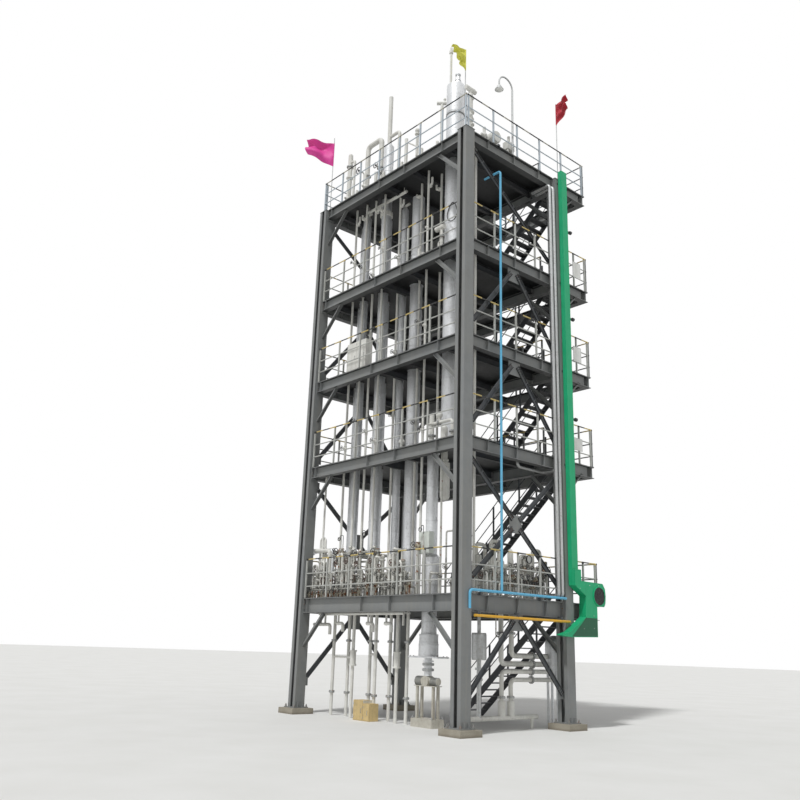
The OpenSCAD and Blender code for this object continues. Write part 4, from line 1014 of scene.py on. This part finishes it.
# %% Strap and neck rings
strap, NECK_X = bmesh.new(), 1950
band(strap, MAIN[0], MAIN[1], MAIN[2] + 4, ROOF + 1580, 0.06)
for z, r in ((18355, 113), (18520, 90), (18690, 64)):
    band(strap, NECK_X, MAIN[1], r, z, 0.03)
finished(strap, "main_column_strap", steel_grey)

# %% [markdown]
# Manifold behind the side fence
#
# Beside the stair side of the first deck three lines lie over each other, with a row of
# valves on each, and short risers join them. Their wheels look out over the fence.

# %% Side of the first deck
pale, worn = bmesh.new(), bmesh.new()
SIDE_X, LOOP_X, POT_X = 3010, 2900, 2880
for k, (z, low, high, r) in enumerate(((330, -380, 1330, 30), (520, -60, 1480, 26),
                                       (760, -300, 1500, 30))):
    line(pale, [(SIDE_X, low, FLOOR), (SIDE_X, low, FLOOR + z), (SIDE_X, high, FLOOR + z),
                (SIDE_X, high, FLOOR)], r, 80)
    for j, y in enumerate(range(low + 190, high - 100, 215)):
        valve(worn if (j + k) % 4 == 1 else pale, wheels, at(SIDE_X, y, FLOOR + z), BACK,
              (1, 0, 0.25), 54 + 8 * ((j + k) % 2))
for y in range(-1080, 1500, 178):
    tall = rng.randint(560, 1220)
    line(pale, [(LOOP_X, y, FLOOR), (LOOP_X, y, FLOOR + tall), (LOOP_X, y + 95, FLOOR + tall),
                (LOOP_X, y + 95, FLOOR + 140)], 28, 40)
    valve(pale, wheels, at(LOOP_X, y, FLOOR + 0.66 * tall), UP, (1, 0.1, 0), 54)
for y, z, r, tall in ((-1040, 3980, 118, 260), (-350, 3600, 62, 260), (-470, 4330, 70, 150),
                      (750, 4080, 105, 150)):
    pot(pale, POT_X, y, z - tall / 2, tall, r, 30, 0.05)
gauge(gauges, faces, at(SIDE_X + 20, 750, 4160), RIGHT, 0.11)
line(pale, [(SIDE_X + 15, 750, FLOOR + 760), (SIDE_X + 15, 750, 4160)], 12)
gauge(gauges, faces, at(2700, 90, 2200), (1, -0.6, 0), 0.11)
line(pale, [(2690, 90, 2200), (2480, 90, 2200), (2480, 90, FLOOR - 12)], 16)
finished(pale, "side_lines", valve_pale)
finished(worn, "side_worn_valves", valve_rusty)
finished(wheels, "small_wheels", dark_iron)
finished(gauges, "gauge_rims", dark_iron)
finished(faces, "gauge_faces", white_board)

# %% [markdown]
# Fittings under the roof
#
# The thin risers and four of the slim columns end in short elbows just under the roof
# deck, and the tallest slim column wears a wide ring there.

# %% Elbows and the ring
pale = bmesh.new()
for i, (x, y) in enumerate(THIN[:8]):
    z, side = ROOF - 560 + 60 * (i % 3), 1 - 2 * (i % 2)
    far = x + side * 190
    line(pale, [(x, y, z), (far, y - 30, z), (far, y - 30, ROOF - 330)], 34, 70)
    collar(pale, facing(at(x + side * 90, y - 15, z), RIGHT), 0.034, 0.068, 0.018, 20)
for x, y, _ in (SLIM[0], *SLIM[2:]):
    line(pale, [(x, y, ROOF - 300), (x, y, ROOF - 215), (x + 210, y, ROOF - 215)], 40, 50)
collar(pale, upright(SLIM[1][0], SLIM[1][1], ROOF - 520), 0.158, 0.205, 0.07, 40)
finished(pale, "roof_underside_fittings", pipe_white)

# %% [markdown]
# Boards and clips
#
# Three bare white boards hang outside the fence of the stair side, each in a thin frame.
# Clips hold the green duct to the strip decks.

# %% Boards and clips
boards, frames, clips = (bmesh.new() for _ in range(3))
for y0, y1, z0, z1 in ((2600, 2970, 12740, 13240), (2510, 2870, 10020, 10480),
                       (2400, 2790, 7350, 7700)):
    block(boards, at(3336, y0, z0), at(3340, y1, z1))
    edge = [(y0, z0), (y1, z0), (y1, z1), (y0, z1)]
    for a, b in zip(edge, edge[1:] + edge[:1]):
        tube(frames, [at(3338, *a), at(3338, *b)], 0.006, 6)
    for y in (y0 + 60, y1 - 60):
        block(frames, at(3330, y - 12, z0 + 20), at(3336, y + 12, z1 - 20))
finished(boards, "bare_boards", white_board, smooth=False)
for z in (14070, 11240, 8190):
    block(clips, at(3340, 2142, z - 22), at(3452, 2330, z + 22), 0.004)
    spun(clips, facing(at(3440, 2330, z), BACK),
         [(0.02, 0), (0.055, 0.03), (0.055, 0.09), (0.01, 0.13)], 16)
finished(clips, "duct_clips", dark_iron, smooth=False)

# %% [markdown]
# Fan inlet of the green duct
#
# The lower case of the duct holds a fan. Its round inlet is a dark disc of painted shade behind a
# guard of rings and spokes, with a flanged rim, and the edges of the case are folded to a rib.
# The hood under it lies in shade, so a thin darker plate of its own is laid on it as painted shade.

# %% Fan guard and case ribs
CASE_X = 3640
CASE_EDGE = [(0, 420), (250, 420), (250, 130), (1190, 115), (1290, -20), (1310, -210),
             (1285, -400), (1230, -480), (910, -480), (910, -700), (900, -1270), (-220, -1300),
             (-560, -1270), (-260, -1180), (420, -780), (440, -240), (0, 10)]
HOOD = [(-190, -1288), (424, -792), (902, -792), (892, -1263)]


def on_case(y, z, x=CASE_X - 4):
    return at(x, 1890 + y, 3560 + z)


# A darker green, as painted shade on the hood.
hood_shade_green = paint("hood_shade_green", tone(18, 84, 56), tone(44, 104, 78), 0.3, 0.5)
guard, dark, ribs, hood = (bmesh.new() for _ in range(4))
here = facing(at(CASE_X, 2900, 3340), RIGHT)
lathe(ribs, here, [(0.235, 0), (0.262, 0), (0.262, 0.02), (0.24, 0.024), (0.235, 0.02)], 40)
# A dark disc over the inlet, as painted shade of the case inside.
drum(dark, here, 0.236, 0, 0.003, 40)
for r in (0.075, 0.15, 0.222):
    collar(guard, raised(here, 0.022), r - 0.003, r + 0.003, 0.003, 32)
for k in range(8):
    tube(guard, [here @ on_circle(r, math.pi * k / 4, 0.026) for r in (0.02, 0.245)], 0.004, 6)
for a, b in zip(CASE_EDGE, CASE_EDGE[1:] + CASE_EDGE[:1]):
    tube(ribs, [on_case(*a), on_case(*b)], 0.008, 6)
under = [hood.verts.new(on_case(y, z, CASE_X + 1)) for y, z in HOOD]
over = [hood.verts.new(v.co + Vector((0.003, 0, 0))) for v in under]
hood.faces.new(over[::-1])
for k in range(4):
    hood.faces.new((under[k], under[k - 1], over[k - 1], over[k]))
tube(ribs, [at(CASE_X, 2314, 2768), at(CASE_X, 2792, 2768)], 0.007, 6)
for y, z in ((2080, 3500), (2500, 3600), (2900, 3620), (2640, 2820), (2640, 2500), (2200, 2480)):
    bolt(frames, at(CASE_X, y, z), RIGHT, 0.01)
finished(hood, "hood_shade_plate", hood_shade_green, smooth=False)
finished(ribs, "fan_case_ribs", duct_green)
finished(dark, "fan_inlet_shade", dark_iron, smooth=False)
finished(guard, "fan_guard", dark_iron)
finished(frames, "board_frames_and_clips", galvanised, smooth=False)

# %% [markdown]
# Struts, a hung line and valves of the upper decks
#
# Short struts carry the overhanging ends of the side beams. Under the roof a long line runs
# behind the thin risers on three hangers, and the risers have a small valve at each deck.
# Three handwheels stand between the roof pipes, and a black hose hangs in a loop before
# the main column.

# %% Upper decks
struts, hung, wheels, dark = (bmesh.new() for _ in range(4))
for x in (-HALF_X, HALF_X):
    for level in DECKS[1:]:
        tube(struts, [at(x, 2105, level - 995), at(x, 2840, level - 262)], 0.028, 6)
        block(struts, at(x - 45, 2097, level - 1060), at(x + 45, 2107, level - 930), 0.002)
        block(struts, at(x - 45, 2780, level - 270), at(x + 45, 2900, level - 258), 0.002)
HUNG_Y, HUNG_Z = -1150, 15540
line(hung, [(-2070, HUNG_Y, HUNG_Z), (-110, HUNG_Y, HUNG_Z)], 50)
for x in (-1950, -1090, -230):
    line(hung, [(x, HUNG_Y, HUNG_Z), (x, HUNG_Y, ROOF - 8)], 10)
for i, (x, y) in enumerate(THIN[:7]):
    for k, level in enumerate(DECKS[1:4]):
        valve(hung, wheels, at(x, y, level + 620 + 370 * ((2 * i + k) % 3)), UP,
              (0.2 * (i % 3 - 1), -1, 0.1), 52 + 6 * ((i + k) % 2))
for x, y, z, r in ((-1790, -1100, 17260, 105), (-2440, -1300, 17260, 125),
                   (-1290, -1300, 16660, 95)):
    line(hung, [(x, y, z), (x, y + 220, z), (x, y + 220, ROOF)], 22)
    wheel(wheels, at(x, y - 20, z), FRONT, r / 1000)
loop = [at(2090 + 190 * math.cos(a), -1310 - 20 * math.sin(2 * a), 13870 + 290 * math.sin(a))
        for a in (2 * math.pi * k / 28 for k in range(27))]
tube(dark, loop, 0.014)
tube(dark, [loop[7], loop[7] + Vector((-0.02, 0.06, 0.02))], 0.01)
finished(struts, "overhang_struts", steel_grey, smooth=False)
finished(hung, "upper_lines_and_valves", pipe_white)
finished(wheels, "upper_wheels", dark_iron)
finished(dark, "black_hose", dark_iron)

# %% [markdown]
# Boxes with doors
#
# The cabinets get doors with a gap round them, hinges and a handle. The ground boxes and
# the box on the first deck are clad with thin panels, each a little larger than the solid
# under it, so that they can have a colour of their own.

# %% Doors and panels
BOX_FRONT, BOX_BACK = -1649, -1341
box_cream = paint("box_cream", tone(212, 188, 134), tone(150, 132, 100), 0.5, 0.5)
box_grey = paint("box_grey", tone(214, 220, 214), tone(180, 178, 168), 0.3)
doors, metal, cream, grey = (bmesh.new() for _ in range(4))
for x0, x1, top, right_top in ((-1000, -602, 500, 432), (-598, -340, 430, 430)):
    for low, high in (((x0, BOX_FRONT, 6), (x1, BOX_FRONT + 4, top)),
                      ((x0, BOX_BACK - 4, 6), (x1, BOX_BACK, top)),
                      ((x0, BOX_FRONT, top), (x1, BOX_BACK, top + 4)),
                      ((x0 - 4, BOX_FRONT, 6), (x0, BOX_BACK, top)),
                      ((x1, BOX_FRONT, 6), (x1 + 4, BOX_BACK, right_top))):
        block(cream, at(*low), at(*high), 0.001)
for low, high in (((1136, -1411, 4216), (1544, -1405, 4774)),
                  ((1136, -1411, 4216), (1140, -1251, 4774)),
                  ((1540, -1411, 4216), (1544, -1251, 4774)),
                  ((1136, -1411, 4770), (1544, -1251, 4774))):
    block(grey, at(*low), at(*high), 0.001)
block(grey, at(1160, -1419, 4240), at(1520, -1411, 4750), 0.004)
for target, x0, x1, y, z0, z1 in ((doors, -1885, -1455, -1790, 9715, 10665),
                                  (doors, -1445, -1015, -1790, 9715, 10665),
                                  (cream, -985, -612, BOX_FRONT, 25, 475),
                                  (cream, -588, -352, BOX_FRONT, 25, 405)):
    block(target, at(x0, y - 8, z0), at(x1, y, z1), 0.004)
    for z in (z0 + 60, z1 - 60):
        tube(metal, [at(x0 + 6, y - 12, z - 25), at(x0 + 6, y - 12, z + 25)], 0.008, 8)
    middle = (z0 + z1) / 2
    grip = [at(x1 - 40, y - out, middle + up)
            for out, up in ((8, -50), (38, -50), (38, 50), (8, 50))]
    tube(metal, rounded(grip, 0.015), 0.006, 8)
finished(doors, "cabinet_doors", pipe_white, smooth=False)
finished(cream, "ground_box_panels", box_cream, smooth=False)
finished(grey, "deck_box_panels", box_grey, smooth=False)

# %% [markdown]
# Pump and lamp
#
# The motor of the pump has cooling fins and stands on four anchors, and two pairs of
# flanges lead from it to the reboiler. The fins could be a bump in the paint, but their
# edges show against the light, so they are thin rings. The roof lamp gets its pale glass.

# %% Pump fins and lamp glass
PUMP_Z, FIN_STEP = 1075, 26
for i in range(9):
    for side, r in ((-1, 0.105), (1, 0.084)):
        x = REBOILER[0] + side * (160 + i * FIN_STEP)
        collar(metal, facing(at(x, REBOILER[1], PUMP_Z), RIGHT), r - 0.002, r + 0.016, 0.003, 28)
for dx in (-350, 350):
    for dy in (-180, 180):
        anchor(metal, REBOILER[0] + dx, REBOILER[1] + dy, 200, 0.018)
for z in (1350, 1480):
    flange(metal, metal, at(*REBOILER, z), UP, 0.094, 0.15, 12, 0.022)
finished(metal, "fins_hinges_and_flanges", galvanised)
glass = bmesh.new()
spun(glass, upright(3210, -530, ROOF + 2060), [(0.05, -0.045), (0.1, -0.03), (0.122, 0)], 28)
finished(glass, "lamp_glass", white_board)

# %% [markdown]
# Flags
#
# A flag is cut flat, so its cloth keeps its lengths when it flies. Each one is built along
# its fly at unit speed: the heading swings to and fro, and the place is the sum of the
# steps. Where the free edge is drawn together, a fold across the cloth takes up what the
# height loses, and its depth is found column by column so that the length is kept.

# %% Cloth finish
def cloth(name, colour):
    material, place = new_finish(name)
    thread = place.noise(420, detail=2).between(0.3, 0.7)
    fade = place.noise(5, detail=3).between(0.35, 0.7)
    shade = mixed(fade * 0.35, colour, tuple(min(1, c * 1.5 + 0.03) for c in colour))
    return close_finish(material, shade, thread * 0.1 + 0.55, 0.0, thread, 0.0006)


print("cloth is threads and a fade; each flag calls for its own colour")

# %% One flag
COLS, ROWS = 72, 54
POLE_RADIUS, SLEEVE_IN, SLEEVE_OUT = 0.016, 0.0142, 0.0175


def fold_depth(chord, length, folds):
    """Depth of a sine fold that makes a chord as long as length."""
    low, high = 0.0, 0.25
    waves = [math.sin(2 * math.pi * folds * t / ROWS) for t in range(ROWS + 1)]
    for _ in range(28):
        depth = (low + high) / 2
        run = sum(math.hypot(chord / ROWS, depth * (b - a)) for a, b in zip(waves, waves[1:]))
        low, high = (depth, high) if run < length else (low, depth)
    return low


def flown_row(v, fly, rises, curl, waves, phase, skew):
    """Place and heading along one thread of the cloth, at the share v of its height."""
    rise = rises[0] + (rises[1] - rises[0]) * v
    swing = curl[0] + (curl[1] - curl[0]) * v
    pace = math.sqrt(max(0.1, 1 - (rise / fly) ** 2)) * fly / COLS
    x = y = 0.0
    for i in range(COLS + 1):
        u = i / COLS
        heading = swing * min(1, 2.5 * u) * math.sin(2 * math.pi * waves * u + phase + skew * v)
        yield x, y, heading
        x, y = x + math.cos(heading) * pace, y + math.sin(heading) * pace


def flag(name, foot, angle, hoist, fly, rises, curl, waves, phase, skew, folds, colour):
    """A flag with its sleeve. rises is the climb of its lower and upper edge to the free end."""
    ahead = on_circle(1, math.radians(angle))
    aside = Vector((-ahead.y, ahead.x, 0))
    start = at(*foot) + ahead * POLE_RADIUS
    grid = [list(flown_row(j / ROWS, fly, rises, curl, waves, phase, skew))
            for j in range(ROWS + 1)]
    bm, verts = bmesh.new(), []
    for i in range(COLS + 1):
        u = i / COLS
        low, high = rises[0] * u, hoist + rises[1] * u
        depth = fold_depth(high - low, hoist, folds)
        column = []
        for j in range(ROWS + 1):
            v = j / ROWS
            x, y, heading = grid[j][i]
            crease = math.sin(9 * math.atan2((1 - v) * hoist, u * fly + 0.02))
            fold = depth * math.sin(2 * math.pi * folds * v) + \
                0.05 * u * (1 - u) * hoist * crease
            x, y = x - math.sin(heading) * fold, y + math.cos(heading) * fold
            lift = Vector((0, 0, low + (high - low) * v))
            column.append(bm.verts.new(start + ahead * x + aside * y + lift))
        verts.append(column)
    for i in range(COLS):
        for j in range(ROWS):
            bm.faces.new((verts[i][j], verts[i + 1][j], verts[i + 1][j + 1], verts[i][j + 1]))
    area = sum(face.calc_area() for face in bm.faces)
    print(name, "area", round(area, 3), "of", round(hoist * fly, 3))
    finish = cloth("flag_" + name, colour)
    piece = finished(bm, "flag_%s_cloth" % name, finish)
    sleeve = bmesh.new()
    collar(sleeve, raised(upright(*foot), hoist / 2), SLEEVE_IN, SLEEVE_OUT, hoist / 2, 16)
    hem = finished(sleeve, "flag_%s_cloth_sleeve" % name, finish)
    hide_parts(name + "_flag")


print("points of one cloth:", (COLS + 1) * (ROWS + 1))

# %% The three flags
flag("magenta", foot=(-3180, -1870, ROOF + 1792), angle=220.3, hoist=0.895, fly=1.1,
     rises=(0.546, 0.252), curl=(0.49, 0.65), waves=1.38, phase=3.15, skew=0.7, folds=1.0,
     colour=tone(214, 62, 150))
flag("yellow", foot=(2064, -796, ROOF + 3240), angle=276, hoist=0.765, fly=0.614,
     rises=(0.37, -0.15), curl=(1.32, 0.35), waves=1.46, phase=2.54, skew=0.1, folds=2.0,
     colour=tone(216, 214, 84))
flag("red", foot=(3230, 2130, ROOF + 2121), angle=-20.8, hoist=0.748, fly=0.67,
     rises=(0.16, -0.05), curl=(0.5, 0.4), waves=1.2, phase=-0.24, skew=0.6, folds=2.0,
     colour=tone(178, 30, 48))

# %% [markdown]
# Camera
#
# The photograph was taken from the ground, about twenty metres off the near corner, with
# the camera tilted up and slightly rolled. Its place and angles were found by fitting
# known corners of the tower to the picture. The matrix is written from the three
# directions of the camera, which is safer than chained rotations.

# %% Camera at the photograph's place
PICTURE, SENSOR = 800, 36.0


def aim(place, yaw, pitch, roll, focal):
    """A camera from its angles in degrees and its focal length in pixels of the picture."""
    yaw, pitch, roll = map(math.radians, (yaw, pitch, roll))
    ahead = Vector((math.sin(yaw) * math.cos(pitch), math.cos(yaw) * math.cos(pitch),
                    math.sin(pitch)))
    level = Vector((math.cos(yaw), -math.sin(yaw), 0))
    over = level.cross(ahead)
    right = level * math.cos(roll) + over * math.sin(roll)
    up = over * math.cos(roll) - level * math.sin(roll)
    data = bpy.data.cameras.new("camera")
    data.sensor_width, data.lens = SENSOR, focal / PICTURE * SENSOR
    data.clip_start, data.clip_end = 0.1, 500
    camera = bpy.data.objects.new("camera", data)
    bpy.context.scene.collection.objects.link(camera)
    turn = Matrix((right, up, -ahead)).transposed().to_4x4()
    camera.matrix_world = Matrix.Translation(place) @ turn
    return camera


camera = aim(Vector((13.915, -14.115, 1.890)), yaw=-49.203, pitch=16.664, roll=1.896,
             focal=822.47)
bpy.context.scene.camera = camera
print("lens", round(camera.data.lens, 2), "mm")

# %% [markdown]
# Floor, background and light
#
# The tower stands on a plain pale floor. One wide sun high in front of the tower gives
# the shade under the beams that the photograph shows, and the even sky fills the rest.
# The background is white for the camera and for reflections only, so it doesn't change
# how much light falls on the tower.

# %% Floor
def floor_finish():
    material, place = new_finish("floor_plain")
    grain = place.noise(0.6).between(0.3, 0.7)
    shade = mixed(grain, tone(226, 226, 223), tone(232, 232, 230))
    return close_finish(material, shade, grain * 0.1 + 0.8, 0.0)


bm = bmesh.new()
spun(bm, Matrix.Translation((-3, 2, -0.02)), [(150, 0), (150, 0.02)], 64)
mesh = bpy.data.meshes.new("floor")
bm.to_mesh(mesh)
bm.free()
mesh.materials.append(floor_finish())
floor = bpy.data.objects.new("floor", mesh)
bpy.context.scene.collection.objects.link(floor)
print("floor with", len(mesh.polygons), "faces")

# %% Sun and sky
def sky(strength):
    world = bpy.data.worlds.new("sky")
    world.use_nodes = True
    bpy.context.scene.world = world
    tree = world.node_tree
    path = tree.nodes.new("ShaderNodeLightPath")
    seen, mirrored, through = (Wire(tree, path.outputs["Is %s Ray" % kind])
                               for kind in ("Camera", "Glossy", "Transmission"))
    shown = seen.maths("MAXIMUM", seen, seen.maths("MAXIMUM", mirrored, through))
    back = tree.nodes["Background"]
    tree.links.new((shown * (1 - strength) + strength).socket, back.inputs["Strength"])
    back.inputs["Color"].default_value = (1, 1, 1, 1)


def sun(name, way, strength, wide):
    data = bpy.data.lights.new(name, "SUN")
    data.energy, data.angle = strength, math.radians(wide)
    lamp = bpy.data.objects.new(name, data)
    lamp.rotation_mode = "QUATERNION"
    lamp.rotation_quaternion = Vector(way).to_track_quat("-Z", "Y")
    bpy.context.scene.collection.objects.link(lamp)


SKY, SUN = 0.4, 2.0
sky(SKY)
sun("key", (-0.35, 0.95, -1.65), SUN, 5)
bpy.context.scene.view_settings.view_transform = "Standard"
print("sky", SKY, "sun", SUN)
